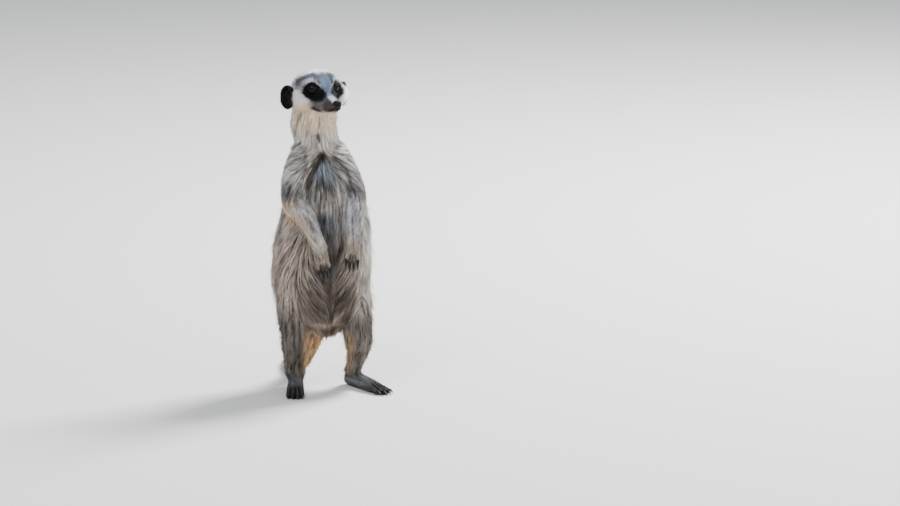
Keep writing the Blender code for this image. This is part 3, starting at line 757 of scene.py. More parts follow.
# Creases and partings in the front's hair, darkened with painted shade: places across and up,
# then half the width and how dark it is.
SHADED_CREASES = {
    "throat": (((-3.3, 253), (-3.6, 243)), 1, 0.55),
    "below_throat": (((-4.4, 238), (-3.8, 233)), 1.6, 0.75),
    "beside_throat": (((-9.5, 237.6), (-4, 237.2)), 0.9, 0.5),
    "right_armpit": (((-1, 220), (-6, 212.3), (-12.8, 200.8), (-15.5, 191)), 2.8, 0.95),
    "left_armpit": (((-1, 220), (6.4, 217), (15.4, 212), (22.2, 200.8), (24.5, 188)), 2.4, 0.6),
    "belly": (((3.6, 108), (4, 78)), 0.9, 0.5),
}
# The first colour is the painted shade in the creases; the second is the whorl's.
CREASE_SHADE_COLOUR, WHORL_COLOUR = (0.055, 0.043, 0.036), (0.022, 0.018, 0.016)


def eye_patch(left):
    """The black patch round each eye, which slants down toward the nose."""
    look, across, up = eye_frame(1)
    from_eye = left - (EYE_PLACE + look * EYE_RADIUS)
    u, v, w = from_eye @ across, from_eye @ up, from_eye @ look
    ragged = 1 + 0.07 * waves(left, 2.6, 17)
    slant = v + 3.1 - 0.24 * u
    reach = (
        np.abs((u + 2) / 11.2) ** 2.2 + np.abs(slant / 7.4) ** 2.2 + np.abs(w / 9.5) ** 2.4
    ) ** (1 / 2.3)
    return ramp(reach * ragged, 1.18, 0.88)


def head_colours(points):
    """The face's markings in the head's own axes, with painted sunlight on the crown and a painted
    highlight on the snout.
    """
    p = body_to_head(points)
    left = mirrored(p)
    mottle = waves(points, 3.5, 3)
    from_band = from_line(left, FOREHEAD_BAND)
    fields = dict(zip("xyz", left.T)) | {
        "points": left, "mottled_z": left[:, 2] + mottle, "from_mouth": from_line(left, MOUTH),
        "from_brow": from_line(left, BROW), "from_band": from_band,
        "mottled_band": from_band + 1.2 * mottle,
        "forehead_tone": 0.72 + 0.2 * mottle, "side_tone": 0.9 + 0.1 * mottle,
    }
    colours = marked(HEAD_COLOUR, HEAD_MARKS, fields)
    colours = colours * (1 + 0.10 * waves(points, 2.2, 11)[:, None])
    return toward(colours, BLACK, np.maximum(eye_patch(left), on_lids(p)))


def marking_fields(points, shares):
    """The body's fields, with the other values that its markings' limits are set on."""
    x, y, z = points.T
    front = ramp(y, 8, -10)
    pale = ramp(z, 166, 176) * ramp(z, 196, 186)
    half_width = 22 + 14 * ramp(z, 112, 92)
    bent = 0.6 * np.sin(x / 9) + 1.3 * waves(points, 24, 33)
    bands = np.sin(z * FULL_TURN / 11.5 + bent) * 0.5 + 0.5 + 0.18 * waves(points, 11, 34)
    return body_fields(points, shares) | {
        "front": front, "mostly_front": 0.35 + 0.65 * front,
        "pale": pale, "strip_tone": 0.86 - 0.55 * pale,
        "belly_middle": ramp(np.abs(x - 3), half_width, half_width * 0.45),
        "belly_tone": 0.70 + 0.25 * ramp(z, 106, 88) + 0.15 * waves(points, 30, 21),
        "bands": bands, "legs": part(shares, "thigh", "shank"),
        "inner_tone": np.where(x > 4, 0.5, 0.85), "hem_tone": np.where(x > 4.5, 0.3, 0.6),
        "elbows": spots(points, ELBOWS), "nipples": spots(points, NIPPLES),
    }


def limb_colours(colours, fields):
    """Lays the limbs' own colours over the trunk's; the left thigh lies in shade."""
    for name in FLESH:
        kind = kind_of(name)
        if kind in LIMB_COLOURS:
            share = ramp(fields[name], 0, 0.9) * 0.9
            if kind == "thigh":
                share = share * ramp(fields["z"], 102, 62)
            if name == "thigh_left":
                colours = colours * (1 - 0.25 * share)[:, None]
            colours = toward(colours, LIMB_COLOURS[kind], share)
    return colours


def dark_fingers(colours, fields):
    for paw, (dark, begins) in DARK_FINGERS.items():
        for name in (paw + "_" + word for word in SIDES):
            start, end = (np.array(place) for place in HAIR_RUNS[name])
            reach = (fields["points"] - start) @ (end - start) / ((end - start) @ (end - start))
            share = fields[name] * ramp(reach, begins, begins + 0.35)
            colours = toward(colours, dark, share * 0.85)
    return colours


def body_colours(points, shares):
    """The whole animal's markings, with painted light: shade in the creases, between the digits and
    on the left thigh, sunlight on the crown and a flank, a highlight on the snout.
    """
    fields = marking_fields(points, shares)
    colours = limb_colours(marked(TRUNK_COLOUR, TRUNK_MARKS, fields), fields)
    colours = marked(colours, ARM_MARKS, fields)
    short = part(shares, "forearm", "hand")
    colours = colours * (1 + 0.22 * short * waves(points, 3, 41))[:, None]
    colours = marked(dark_fingers(colours, fields), LATER_MARKS, fields)
    # Painted shade along the creases and partings of the front's hair.
    for line, wide, dark in SHADED_CREASES.values():
        gap = from_line(points[:, [0, 2]], np.array(line))
        share = fields["front"] * ramp(gap, wide * 1.3, wide * 0.5) * dark
        colours = toward(colours, CREASE_SHADE_COLOUR, share)
    colours = toward(colours, WHORL_COLOUR, blob(points, WHORL, (4.2, 14, 5.6), 0.5) * 0.95)
    # Painted shade in the clefts between the digits.
    colours = colours * (1 - 0.72 * digits(points)[0][:, None])
    return toward(colours, head_colours(points), ramp(fields["head"], 0.3, 0.7))


# ---------------------------------------------------------------- maps

class Maps:
    """Lays each part's unwrap out in its own cell of the map, round the part's long way."""

    MARGIN = 0.02

    def __init__(self, surface):
        self.owner = surface.shares.argmax(axis=1)
        self.frames = []
        for index in range(len(FLESH)):
            own = surface.points[self.owner == index]
            centre = own.mean(axis=0)
            spread, axes = np.linalg.eigh(np.cov((own - centre).T))
            order = np.argsort(-spread)
            self.frames.append((centre, axes[:, order], np.sqrt(spread[order])))

    def chart(self, points, index):
        """Turn around the part's long axis and height along it, both from 0 to 1."""
        centre, axes, sizes = self.frames[index]
        local = (points - centre) @ axes / sizes
        turn = np.arctan2(local[:, 1], local[:, 2]) / FULL_TURN + 0.5
        height = np.arctan2(local[:, 0], np.linalg.norm(local[:, 1:], axis=1)) / math.pi + 0.5
        return np.stack((turn, height), axis=1)

    def cell(self, chart, place, count):
        side = math.ceil(math.sqrt(count))
        corner = np.array((place % side, place // side))
        return (corner + self.MARGIN + chart * (1 - 2 * self.MARGIN)) / side


def map_skin(surface, maps):
    polygons = surface.mesh.polygons
    corners = read(surface.mesh.loops, "vertex_index", kind=int)
    starts, totals = (read(polygons, "loop_" + what, kind=int) for what in ("start", "total"))
    first = corners[np.repeat(starts, totals)]
    flat = np.zeros((len(corners), 2))
    for index in range(len(FLESH)):
        mine = np.flatnonzero(maps.owner[first] == index)
        chart = maps.chart(surface.points[corners[mine]], index)
        lead = maps.chart(surface.points[first[mine]], index)
        turn = chart[:, 0] - lead[:, 0]
        chart[:, 0] = lead[:, 0] + turn - np.round(turn)
        flat[mine] = maps.cell(chart, index, len(FLESH))
    add_map(surface.mesh, flat)


# ---------------------------------------------------------------- the coat

# Each piece of the coat: its parts, how many tufts grow there, their width in millimetres,
# how much they draw together into locks, and the limits of where they grow.
COAT_PIECES = {
    "coat_face": (("head",), 19500, 0.42, 0.2, (("face",), ("growth",))),
    "coat_crown": (("head",), 8000, 0.55, 0.25, (("behind_face",), ("growth",))),
    "coat_neck": (("neck",), 16500, 0.42, 0.4, ()),
    "coat_chest": (("trunk",), 17000, 0.48, 0.7, (("y", 8, 2), ("z", 148, 158))),
    "coat_belly": (("trunk",), 17000, 0.5, 0.72, (("y", 8, 2), ("z", 158, 148))),
    "coat_back": (("trunk",), 14000, 0.6, 0.45, (("y", 2, 8),)),
    "coat_arm_left": (("upper_arm_left", "forearm_left", "hand_left"), 9200, 0.55, 0.4, ()),
    "coat_arm_right": (("upper_arm_right", "forearm_right", "hand_right"), 9200, 0.55, 0.4, ()),
    "coat_leg_left": (("thigh_left", "shank_left"), 11000, 0.56, 0.6, ()),
    "coat_leg_right": (("thigh_right", "shank_right"), 11000, 0.56, 0.6, ()),
    "coat_feet": (("foot_left", "foot_right"), 6500, 0.5, 0.15, ()),
    "coat_tail": (("tail",), 7000, 0.8, 0.4, ()),
}
BARELY_GROWING = 0.04
TUFT_PATCH = 0.003
RINGS = 2
BLADE = ((-0.5, 0), (0.5, 0), (0, 0.42))
BLADE_POINTS = RINGS * len(BLADE) + 1
TUFTS_TO_A_LOCK, LOCKS_TRIED, LOCK_STRETCH = 16, 16, 4.5
STREAK_CONTRAST, STREAK_RELIEF = 0.5, 0.5
# How light a tuft is at its root, its middle and its tip.
BANDING = np.array((0.45, 14 / 15, 1.15))
ROOT_DEPTH = 0.4
GUARD_HAIRS, GUARD_LIGHT, GUARD_SLIM = 0.11, 1.25, 0.6
COLOUR_STRAY = 1.1


def plainness(points, length):
    """1 where few streaks show, on the face, the throat and short hair, and 0 on the body."""
    p = body_to_head(points)
    throat = ramp(p[:, 2], -56, -36) * ramp(p[:, 1], 18, 0)
    face = ramp(p[:, 2], -30, -16) * ramp(p[:, 1], 30, 16)
    return np.maximum(np.maximum(throat, face), 0.5 * ramp(length, 7.5, 4.5))


def face_growth(points):
    """Hair is thickest on the face's front, and there is none on the eyes and nose."""
    p = body_to_head(points)
    thick = 1 + 1.2 * ramp(p[:, 1], 10, -6)
    nose = blob(p, NOSE_PLACE, NOSE_RADII * 1.12, 0.12)
    under_ear = ramp(np.linalg.norm(mirrored(p) - EAR_PLACE, axis=1), 9.5, 7)
    return thick * (1 - np.clip(on_lids(p) + nose + under_ear, 0, 1))


def growing(surface, parts, limits):
    """How thickly each triangle of the skin grows a piece's tufts: 0 is bare."""
    middle = surface.mean(surface.points)
    face = ramp(body_to_head(middle)[:, 1], 17, 11)
    fields = {"face": face, "behind_face": 1 - face, "growth": face_growth(middle)}
    fields |= dict(zip("xyz", middle.T))
    weight = within(fields, limits, surface.mean(part(surface.shares, *parts)))
    return surface.areas * np.where(weight > BARELY_GROWING, weight, 0)


def scatter(weights, count, rng):
    """Triangles and places in them for count roots, spread evenly by weight."""
    total = np.cumsum(weights)
    picks = (np.arange(count) + rng.random(count)) / count * total[-1]
    triangles = np.minimum(np.searchsorted(total, picks), len(weights) - 1)
    a, b = rng.random(count), rng.random(count)
    over = a + b > 1
    a[over], b[over] = 1 - a[over], 1 - b[over]
    return triangles, np.stack((1 - a - b, a, b), axis=1)


def turned(ways, normals, angles):
    side = np.cross(normals, ways)
    return ways * np.cos(angles)[:, None] + side * np.sin(angles)[:, None]


def combed(surface, triangles, corners, tuft):
    """Walks each tuft over the skin; returns its ring centres, normals and streaks there."""
    place = surface.at(surface.points, triangles, corners)
    normal = unit(surface.at(surface.normals, triangles, corners))
    flow = surface.at(surface.ways, triangles, corners)
    centres, uprights = [place - normal * ROOT_DEPTH], [normal]
    streaks = [surface.at(surface.streaks, triangles, corners)]
    for ring in range(1, RINGS + 1):
        here = ring / RINGS
        way = turned(unit(flow), normal, tuft["turn"] * (1 + tuft["curl"] * here))
        place, triangle = surface.nearest(place + way * (tuft["length"] / RINGS)[:, None])
        normal = unit(surface.mean(surface.normals, triangle))
        flow = surface.mean(surface.ways, triangle)
        rise = tuft["height"] * (1 - (1 - here) ** 2) + tuft["lift"] * here**2
        rise = rise + tuft["relief"] * streaks[0] * np.minimum(tuft["height"] / 4, 1)
        if tuft["beside_arms"]:
            gap = np.array([surface.arms.find_nearest(tuple(p))[3] for p in place.tolist()])
            rise = rise * (0.08 + 0.92 * ramp(gap, 2, 15))
        centres.append(place + normal * rise[:, None])
        uprights.append(normal)
        streaks.append(surface.mean(surface.streaks, triangle))
        if ring < RINGS:
            depth = surface.mean(surface.depth, triangle)
            tuft["shows_at"], tuft["shows_in"] = place + normal * depth[:, None], triangle
    return np.stack(centres, axis=1), np.stack(uprights, axis=1), np.stack(streaks, axis=1)


def drawn_together(centres, ways, pull, rng):
    """Draws the tufts sideways to the middle of the long, narrow lock each belongs to."""
    count = len(centres)
    leaders = rng.choice(count, max(count // TUFTS_TO_A_LOCK, LOCKS_TRIED), replace=False)
    tree = KDTree(len(leaders))
    roots = centres[:, 1]
    for place, leader in enumerate(leaders):
        tree.insert(tuple(roots[leader]), place)
    tree.balance()
    near = np.array([[f[1] for f in tree.find_n(tuple(r), LOCKS_TRIED)] for r in roots.tolist()])
    gaps = roots[leaders[near]] - roots[:, None]
    along = (gaps * ways[:, None]).sum(axis=2)
    across = np.sqrt(np.maximum((gaps**2).sum(axis=2) - along**2, 0))
    best = np.hypot(across, along / LOCK_STRETCH).argmin(axis=1)
    lock = near[np.arange(count), best]
    toward_lock = centres[leaders[lock]] - centres
    lengthwise = (toward_lock * ways[:, None]).sum(axis=2, keepdims=True) * ways[:, None]
    toward_lock -= lengthwise * 0.9
    shares = np.linspace(0, 1, centres.shape[1])
    return centres + toward_lock * (pull[:, None] * shares)[:, :, None], lock


def blade_faces():
    """The triangles of one tuft's blade, and their corners' places in its patch of the map."""
    faces, patch = [(0, 2, 1)], [((0, 0), (0.5, 0.1), (1, 0))]
    edges = [(edge, (edge + 1) % 3, edge / 3, (edge + 1) / 3) for edge in range(3)]
    for a, b, u, v in edges:
        faces += [(a, b, b + 3), (a, b + 3, a + 3)]
        patch += [((u, 0), (v, 0), (v, 0.5)), ((u, 0), (v, 0.5), (u, 0.5))]
    for a, b, u, v in edges:
        faces.append((a + 3, b + 3, 6))
        patch.append(((u, 0.5), (v, 0.5), ((u + v) / 2, 1)))
    return np.array(faces), np.array(patch)


def tufts_object(name, centres, uprights, widths, chart, colours):
    """Slim three-sided blades along the ring centres, each at its own place on the map."""
    side = unit(np.cross(np.gradient(centres, axis=1), uprights))
    points = []
    for ring in range(RINGS):
        here = ring / RINGS
        width = widths * (0.72 + 0.9 * here) * (1 - here**2.2)
        for across, up in BLADE:
            offset = side[:, ring] * across + uprights[:, ring] * up
            points.append(centres[:, ring] + offset * width[:, None])
    points = np.stack((*points, centres[:, -1]), axis=1)
    points[..., 2] = np.maximum(points[..., 2], FLOOR)
    faces, patch = blade_faces()
    starts = np.arange(len(centres), dtype=np.int32)[:, None, None] * BLADE_POINTS
    corners = (starts + faces).astype(np.int32).ravel()

    mesh = bpy.data.meshes.new(name)
    mesh.vertices.add(len(centres) * BLADE_POINTS)
    mesh.vertices.foreach_set("co", to_row(points).ravel())
    mesh.loops.add(len(corners))
    mesh.loops.foreach_set("vertex_index", corners)
    mesh.polygons.add(len(corners) // 3)
    mesh.polygons.foreach_set("loop_start", np.arange(0, len(corners), 3, dtype=np.int32))
    mesh.update(calc_edges=True)
    mesh.shade_smooth()
    add_map(mesh, chart[:, None, None, :] + (patch - 0.5) * TUFT_PATCH)
    paint(mesh, np.broadcast_to(colours, points.shape).reshape(-1, 3))
    return linked(name, mesh)


def tuft_chart(roots, owner, parts, maps):
    """Where each root is on its piece's map, which has a cell for each of its parts."""
    chart = np.zeros((len(roots), 2))
    for index in np.unique(owner):
        mine = owner == index
        place = parts.index(FLESH[index]) if FLESH[index] in parts else 0
        chart[mine] = maps.cell(maps.chart(roots[mine], index), place, len(parts))
    return chart


def make_coat(surface, maps, name):
    parts, count, width, pull, limits = COAT_PIECES[name]
    rng = np.random.default_rng(sum(map(ord, name)))
    triangles, corners = scatter(growing(surface, parts, limits), count, rng)
    roots = surface.at(surface.points, triangles, corners)
    length = surface.at(surface.length, triangles, corners)
    depth = surface.at(surface.depth, triangles, corners)
    plain = plainness(roots, length)
    tuft = {
        "length": length * rng.uniform(0.7, 1.15, count),
        "height": depth * (1 - 0.5 * rng.random(count) ** 2),
        "lift": (rng.random(count) < GUARD_HAIRS) * length * rng.uniform(0.1, 0.58, count),
        "turn": rng.normal(0, 0.07, count) + 0.12 * waves(roots, 17, 5),
        "curl": rng.normal(0, 0.8, count),
        "relief": STREAK_RELIEF * (1 - 0.7 * plain),
        "beside_arms": name in ("coat_chest", "coat_belly", "coat_back", "coat_neck"),
    }
    in_head = mirrored(body_to_head(roots))
    fluff = blob(in_head, (21, 4.5, -10.5), (6, 7, 10), 0.5) * ramp(in_head[:, 1], 9.5, 6)
    tuft["lift"] += fluff * rng.uniform(0.3, 3.4, count)
    centres, uprights, streaks = combed(surface, triangles, corners, tuft)
    ways = unit(surface.at(surface.ways, triangles, corners))
    centres, lock = drawn_together(centres, ways, pull * (1 - 0.7 * plain), rng)
    guard = tuft["lift"] > 0
    slim = np.clip(length / 5, 0.55, 1) * width * np.where(guard, GUARD_SLIM, 1)
    widths = slim * rng.uniform(0.6, 1.25, count)

    strayed = rng.normal(0, COLOUR_STRAY if name == "coat_back" else 0, (count, 3))
    shares = surface.mean(surface.soft_shares, tuft["shows_in"])
    colours = body_colours(tuft["shows_at"] + strayed, shares)
    colours = colours * np.where(guard, GUARD_LIGHT, 1)[:, None]
    own = 0.20 * rng.standard_normal(count) + 0.25 * rng.standard_normal(lock.max() + 1)[lock]
    tone = 1 + (own[:, None] + STREAK_CONTRAST * streaks) * (1 - 0.72 * plain[:, None])
    shade = np.clip(tone, 0.3, 1.9) * (1 + (BANDING - 1) * (1 - 0.6 * plain[:, None]))
    shade = np.repeat(shade, (*[len(BLADE)] * RINGS, 1), axis=1)
    painted = np.clip(colours[:, None, :] * shade[:, :, None], 0.003, 0.95)
    owner = maps.owner[surface.triangles[triangles, 0]]
    chart = tuft_chart(roots, owner, parts, maps)
    return tufts_object(name, centres, uprights, widths, chart, painted)


# ---------------------------------------------------------------- eyes and lids

CORNEA_HEIGHT, CORNEA_ANGLE = 0.45, math.radians(42)
IRIS, PUPIL, EYE_RIM = (0.0045, 0.0032, 0.0026), (0.002, 0.0017, 0.0017), (0.006, 0.0045, 0.004)
LID_EDGE_COLOUR = (0.012, 0.010, 0.010)
# From the lids' edge outward: degrees past the edge, and how far it stands off the eyeball.
LID_PROFILE = (
    (-4, -0.7), (-1, -0.1), (0, 0.25), (1.5, 0.52), (4, 0.68), (8, 0.70), (11, 0.56),
    (13, 0.56), (17, 0.62), (24, 0.35), (33, -0.35), (44, -1.4), (56, -3),
)


def on_eyeball(side, angle, turn, radius):
    """A place round the eye: angle away from where it looks, turn around that from outside."""
    look, across, up = eye_frame(side)
    flat = np.cos(turn)[..., None] * across + np.sin(turn)[..., None] * up
    way = np.cos(angle)[..., None] * look + np.sin(angle)[..., None] * flat
    return head_to_body(EYE_PLACE * (side, 1, 1) + way * radius[..., None])


def make_eye(word):
    angles, turns = np.linspace(0.004, math.radians(110), 34), turns_round(40)
    angle, turn = np.meshgrid(angles, turns, indexing="ij")
    radius = EYE_RADIUS + CORNEA_HEIGHT * ramp(angle, CORNEA_ANGLE, 0)
    obj = tube_object("eyeball_" + word, on_eyeball(SIDES[word], angle, turn, radius))
    degrees, turn = np.degrees(angle).ravel(), turn.ravel()
    wide = degrees * np.sqrt(0.75 * np.cos(turn) ** 2 + 1.3 * np.sin(turn) ** 2)
    spokes = 0.5 + 0.5 * np.sin(turn * 17) * np.sin(turn * 7 + 1)
    colours = toward(IRIS * (0.8 + 0.4 * spokes[:, None]), PUPIL, ramp(wide, 17, 13))
    paint(obj.data, toward(colours, EYE_RIM, ramp(degrees, 33, 38)))
    return obj


def make_lids(word):
    turns = turns_round(72)
    rows = []
    for past, stand in LID_PROFILE:
        folds = 0.10 * np.sin(turns * 9 + past) * ramp(past, 6, 14) * ramp(past, 30, 20)
        upper = 0.18 * np.clip(np.sin(turns), 0, 1) * ramp(past, 2, 10)
        angle = lid_edge(turns) + math.radians(past)
        rows.append(on_eyeball(SIDES[word], angle, turns, EYE_RADIUS + stand + folds + upper))
    obj = tube_object("lids_" + word, rows, capped=False)
    past = np.repeat([p for p, _ in LID_PROFILE], len(turns))
    edge = ramp(past, 4, 1) * ramp(past, -2, 0)
    paint(obj.data, toward(np.array(BLACK) * 0.6, LID_EDGE_COLOUR, edge))
    smooth = obj.modifiers.new("smooth", "SUBSURF")
    smooth.levels = smooth.render_levels = 1
    return settle(obj)


# ---------------------------------------------------------------- the nose

NOSE_SWELL, NOSE_SHIFT = 1.02, np.array((0.4, -0.6, 0.5))
NOSE_COLOUR, NOSTRIL_COLOUR = (0.007, 0.006, 0.006), (0.004, 0.003, 0.003)
NOSE_WING_COLOUR = (0.055, 0.035, 0.025)


def make_nose():
    angles, turns = np.linspace(0.01, math.radians(165), 60), turns_round(72)
    angle, turn = np.meshgrid(angles, turns, indexing="ij")
    x, y, z = np.sin(angle) * np.cos(turn), -np.cos(angle), np.sin(angle) * np.sin(turn)
    square = (np.abs(x) ** 3 + np.abs(z) ** 3 + np.abs(y) ** 3) ** (-1 / 3)
    shape = np.stack((x, y, z), axis=-1) * (0.35 + 0.65 * square[..., None])
    p = shape * NOSE_RADII * NOSE_SWELL
    u, w = np.abs(p[..., 0]), p[..., 2]
    front = ramp(y, 0.2, -0.3)
    nostril = dome(u - 1.75, 0.72, w + 0.35 + 0.25 * (u - 1.75), 0.62)
    slit = dome(u - 3, 0.9, w - 0.1 - 0.35 * (u - 3), 0.32)
    groove = dome(u, 0.28) * ramp(w, 0.8, -0.6)
    rim = dome(u - 1.9, 1.5, w + 0.1, 1.3)
    p[..., 1] += front * (1.9 * nostril + 0.8 * slit + 0.5 * groove - 0.35 * rim)
    p[..., 0] -= 0.25 * np.sign(p[..., 0]) * front * nostril
    obj = tube_object("nose_pad", head_to_body(NOSE_PLACE + NOSE_SHIFT + p))
    dark = np.clip(nostril + 0.8 * slit, 0, 1) * front
    wing = ramp(u, 2.4, 3.6) * ramp(w, 0.6, -1.2) * 0.4
    colours = toward(NOSE_COLOUR, NOSTRIL_COLOUR, dark.ravel())
    paint(obj.data, toward(colours, NOSE_WING_COLOUR, wing.ravel()))
    return obj


# ---------------------------------------------------------------- ears

EAR_COLOUR, EAR_HOLLOW_COLOUR = (0.008, 0.007, 0.007), (0.022, 0.015, 0.012)
EAR_FRONT_ROWS, EAR_BACK_REACHES = 22, (1, 0.85, 0.6, 0.3, 0.02)
EAR_TUFTS, EAR_ROOM = 2300, 4
BROWN_TUFTS, BROWN_LIGHT = 0.12, 2.6


def ear_axes(side):
    """The ear's own axes in the head's: across it, up it, and out of its hollow."""
    out = rotation_z(side * EAR_OUTWARD) @ np.array((0, -1, 0))
    up = np.array((0, 0, 1))
    return np.cross(up, out), up, out


def ear_height(u, v):
    """How far the ear's front stands out at a place in its unit disc."""
    reach = np.hypot(u, v)
    bowl = -0.75 + 0.95 * ramp(reach, 0.35, 0.95)
    roll = 0.30 * dome(reach - 0.9, 0.10)
    fold = 0.55 * dome(np.hypot(u + 0.35, v - 0.10) - 0.52, 0.11)
    flap = 0.7 * dome(u - 0.55, 0.28, v + 0.25, 0.40)
    canal = -0.5 * dome(u - 0.12, 0.22, v + 0.18, 0.28)
    return bowl + roll + fold * ramp(u, 0.5, -0.1) + flap + canal


def make_ear(word):
    side = SIDES[word]
    across, up, out = ear_axes(side)
    turns = turns_round(56)
    reach = np.concatenate((np.linspace(0.02, 1, EAR_FRONT_ROWS), EAR_BACK_REACHES))[:, None]
    face = np.where(np.arange(len(reach)) < EAR_FRONT_ROWS, 1, -1)[:, None]
    u, v = reach * np.cos(turns), reach * np.sin(turns)
    lobed = 1 - 0.06 * np.cos(turns * 2) + 0.03 * np.sin(3 * turns)
    front = ear_height(u * side, v) * ramp(reach, 1.02, 0.9) + 0.1
    back = -0.95 * np.sqrt(1 - (reach * 0.98) ** 2) - 0.12
    height = np.where(face > 0, front, back)
    width, tall, thick = EAR_RADII
    rows = (
        EAR_PLACE * (side, 1, 1) + (u * lobed * width)[..., None] * across
        + (v * lobed * tall)[..., None] * up + (height * thick)[..., None] * out
    )
    obj = tube_object("ear_bowl_" + word, head_to_body(rows))
    depth = (face - height * face).ravel()
    paint(obj.data, toward(EAR_COLOUR, EAR_HOLLOW_COLOUR, ramp(depth, 1, 1.7) * 0.7))
    return obj


def make_ear_hair(ear, word):
    """Short black hair over an ear, which stands out past its rim."""
    count, side = EAR_TUFTS, SIDES[word]
    rng = np.random.default_rng(77)
    surface = Surface(ear)
    surface.index_triangles()
    across, up, out = ear_axes(side)
    middle = head_to_body(EAR_PLACE * (side, 1, 1))
    away = surface.points - middle
    out = HEAD_TURN @ out
    flat = away - (away @ out)[:, None] * out
    surface.ways = surface.along(unit(flat) + 0.5 * out * np.sign(surface.normals @ out)[:, None])
    reach = surface.mean(np.linalg.norm(flat, axis=1))
    behind = surface.mean(surface.normals @ out) < 0.2
    weight = surface.areas * np.where(behind, 1, 0.25 + ramp(reach, 5, 8))
    triangles, corners = scatter(weight, count, rng)
    tuft = {
        "length": rng.uniform(1.6, 3.4, count),
        "height": rng.uniform(0.1, 0.45, count),
        "lift": (rng.random(count) < 0.3) * rng.uniform(0.3, 1, count),
        "turn": rng.normal(0, 0.25, count),
        "curl": rng.normal(0, 0.8, count),
        "relief": 0,
        "beside_arms": False,
    }
    centres, uprights, _ = combed(surface, triangles, corners, tuft)
    widths = rng.uniform(0.22, 0.42, count)
    root = surface.points[surface.triangles[triangles, 0]] - middle
    chart = np.stack((root @ (HEAD_TURN @ across), root @ up), axis=1) / (EAR_ROOM * EAR_RADII[1])
    chart[:, 0] += np.where(root @ out > 0, 0.27, 0.73)
    chart[:, 1] += 0.5
    tone = rng.uniform(0.6, 1.5, count)
    tone = tone * np.where(rng.random(count) < BROWN_TUFTS, BROWN_LIGHT, 1)
    colours = (np.array(BLACK) * tone[:, None])[:, None]
    return tufts_object("coat_ear_" + word, centres, uprights, widths, chart, colours)


# ---------------------------------------------------------------- claws and whiskers

CLAW_BOW, CLAW_SIDES, CLAW_ROWS = 0.12, 14, 14
CLAW_COLOUR, CLAW_ROOT_COLOUR = (0.030, 0.027, 0.028), (0.010, 0.009, 0.010)
# Groups of whiskers, in the head's axes: where they root, the way they point, how many there
# are, how far the roots spread and how long they are.
WHISKERS = {
    "muzzle": ((5.8, -17.5, -12.2), (0.95, 0.25, 0.05), 6, (1, 4, 2), 18),
    "brow": ((9.5, 0.5, 9), (0.55, 0.10, 0.62), 7, (2.4, 2, 0.8), 17),
    "cheek": ((17.5, 4, -9), (0.9, 0.25, -0.2), 4, (1, 1.6, 1.6), 14),
}
WHISKER_RADIUS, WHISKER_SIDES, WHISKER_ROWS = 0.06, 4, 9
WHISKER_ROOT_COLOUR, WHISKER_COLOUR = (0.03, 0.026, 0.024), (0.20, 0.19, 0.18)
MAP_CELLS = 64
CELL_CORNERS = np.array(((0.1, 0.1), (0.9, 0.1), (0.9, 0.9), (0.1, 0.9)))


def round_cone(line, radii, sides):
    """Rows of a tapering rod along a line of places."""
    along = unit(np.gradient(line, axis=0))
    aside = unit(np.cross(along, (0.31, 0.17, 0.93)))
    above = np.cross(along, aside)
    turns = turns_round(sides)[:, None]
    ring = np.cos(turns) * aside[:, None] + np.sin(turns) * above[:, None]
    return line[:, None] + ring * radii[:, None, None]


def make_claw(node):
    """A curved claw with a blunt root, where the frame's claw node is."""
    root, tip, width = claw_ends(node)
    share = np.linspace(-0.12, 1, CLAW_ROWS)
    lift = np.array((0, 0, 1) if "foot" in node else (0, -1, 0))
    bow = CLAW_BOW * np.linalg.norm(tip - root)
    line = root + share[:, None] * (tip - root) + (bow * np.sin(share * math.pi))[:, None] * lift
    radii = width * 0.95 * np.clip(1 - np.clip(share, 0, 1) ** 1.7, 0.03, 1)
    rows = round_cone(line, radii, CLAW_SIDES)
    rows[..., 2] = np.maximum(rows[..., 2], FLOOR)
    obj = tube_object(node.replace("claw", "nail"), rows)
    dark = ramp(np.repeat(share, CLAW_SIDES), 0.9, 0.2)
    paint(obj.data, toward(CLAW_COLOUR, CLAW_ROOT_COLOUR, dark))
    return obj


def whisker_rod(surface, group, side, rng):
    place, way, _, spread, length = group
    root = (np.array(place) + rng.uniform(-1, 1, 3) * spread) * (side, 1, 1)
    root = surface.nearest(head_to_body(root)[None])[0][0]
    out = HEAD_TURN @ (unit(np.array(way) + rng.normal(0, 0.26, 3)) * (side, 1, 1))
    long = length * rng.uniform(0.6, 1.15)
    t = np.linspace(-0.03, 1, WHISKER_ROWS)
    sag = np.array((0, 0, -1)) * long * rng.uniform(0.05, 0.2)
    back = HEAD_TURN @ np.array((0, 1, 0)) * long * rng.uniform(0.05, 0.22)
    line = root + out * long * t[:, None] + (sag + back) * (t**2)[:, None]
    rod = round_cone(line, WHISKER_RADIUS * np.clip(1 - t, 0.12, 1), WHISKER_SIDES)
    return rod.reshape(-1, 3), np.repeat(ramp(t, 0, 0.25), WHISKER_SIDES)


def make_whiskers(surface):
    rng = np.random.default_rng(31)
    rods = [
        whisker_rod(surface, group, side, rng)
        for group in WHISKERS.values() for side in (-1, 1) for _ in range(group[2])
    ]
    points, shades = (np.concatenate(what) for what in zip(*rods))
    faces = []
    for start in range(0, len(points), WHISKER_ROWS * WHISKER_SIDES):
        faces += tube_faces(WHISKER_ROWS, WHISKER_SIDES, start)
    obj = new_object("whiskers", points, faces)
    paint(obj.data, toward(WHISKER_ROOT_COLOUR, WHISKER_COLOUR, shades))
    row, column = np.divmod(np.arange(len(faces)), MAP_CELLS)
    cells = np.stack((column, row), axis=1)[:, None]
    add_map(obj.data, cells / MAP_CELLS + CELL_CORNERS / MAP_CELLS)
    return obj


# ---------------------------------------------------------------- materials

def add_node(tree, kind, **sockets):
    """A shader node with values set on its sockets, which are named in lower case."""
    node = tree.nodes.new(kind)
    for socket, value in sockets.items():
        node.inputs[socket.replace("_", " ").title()].default_value = value
    return node


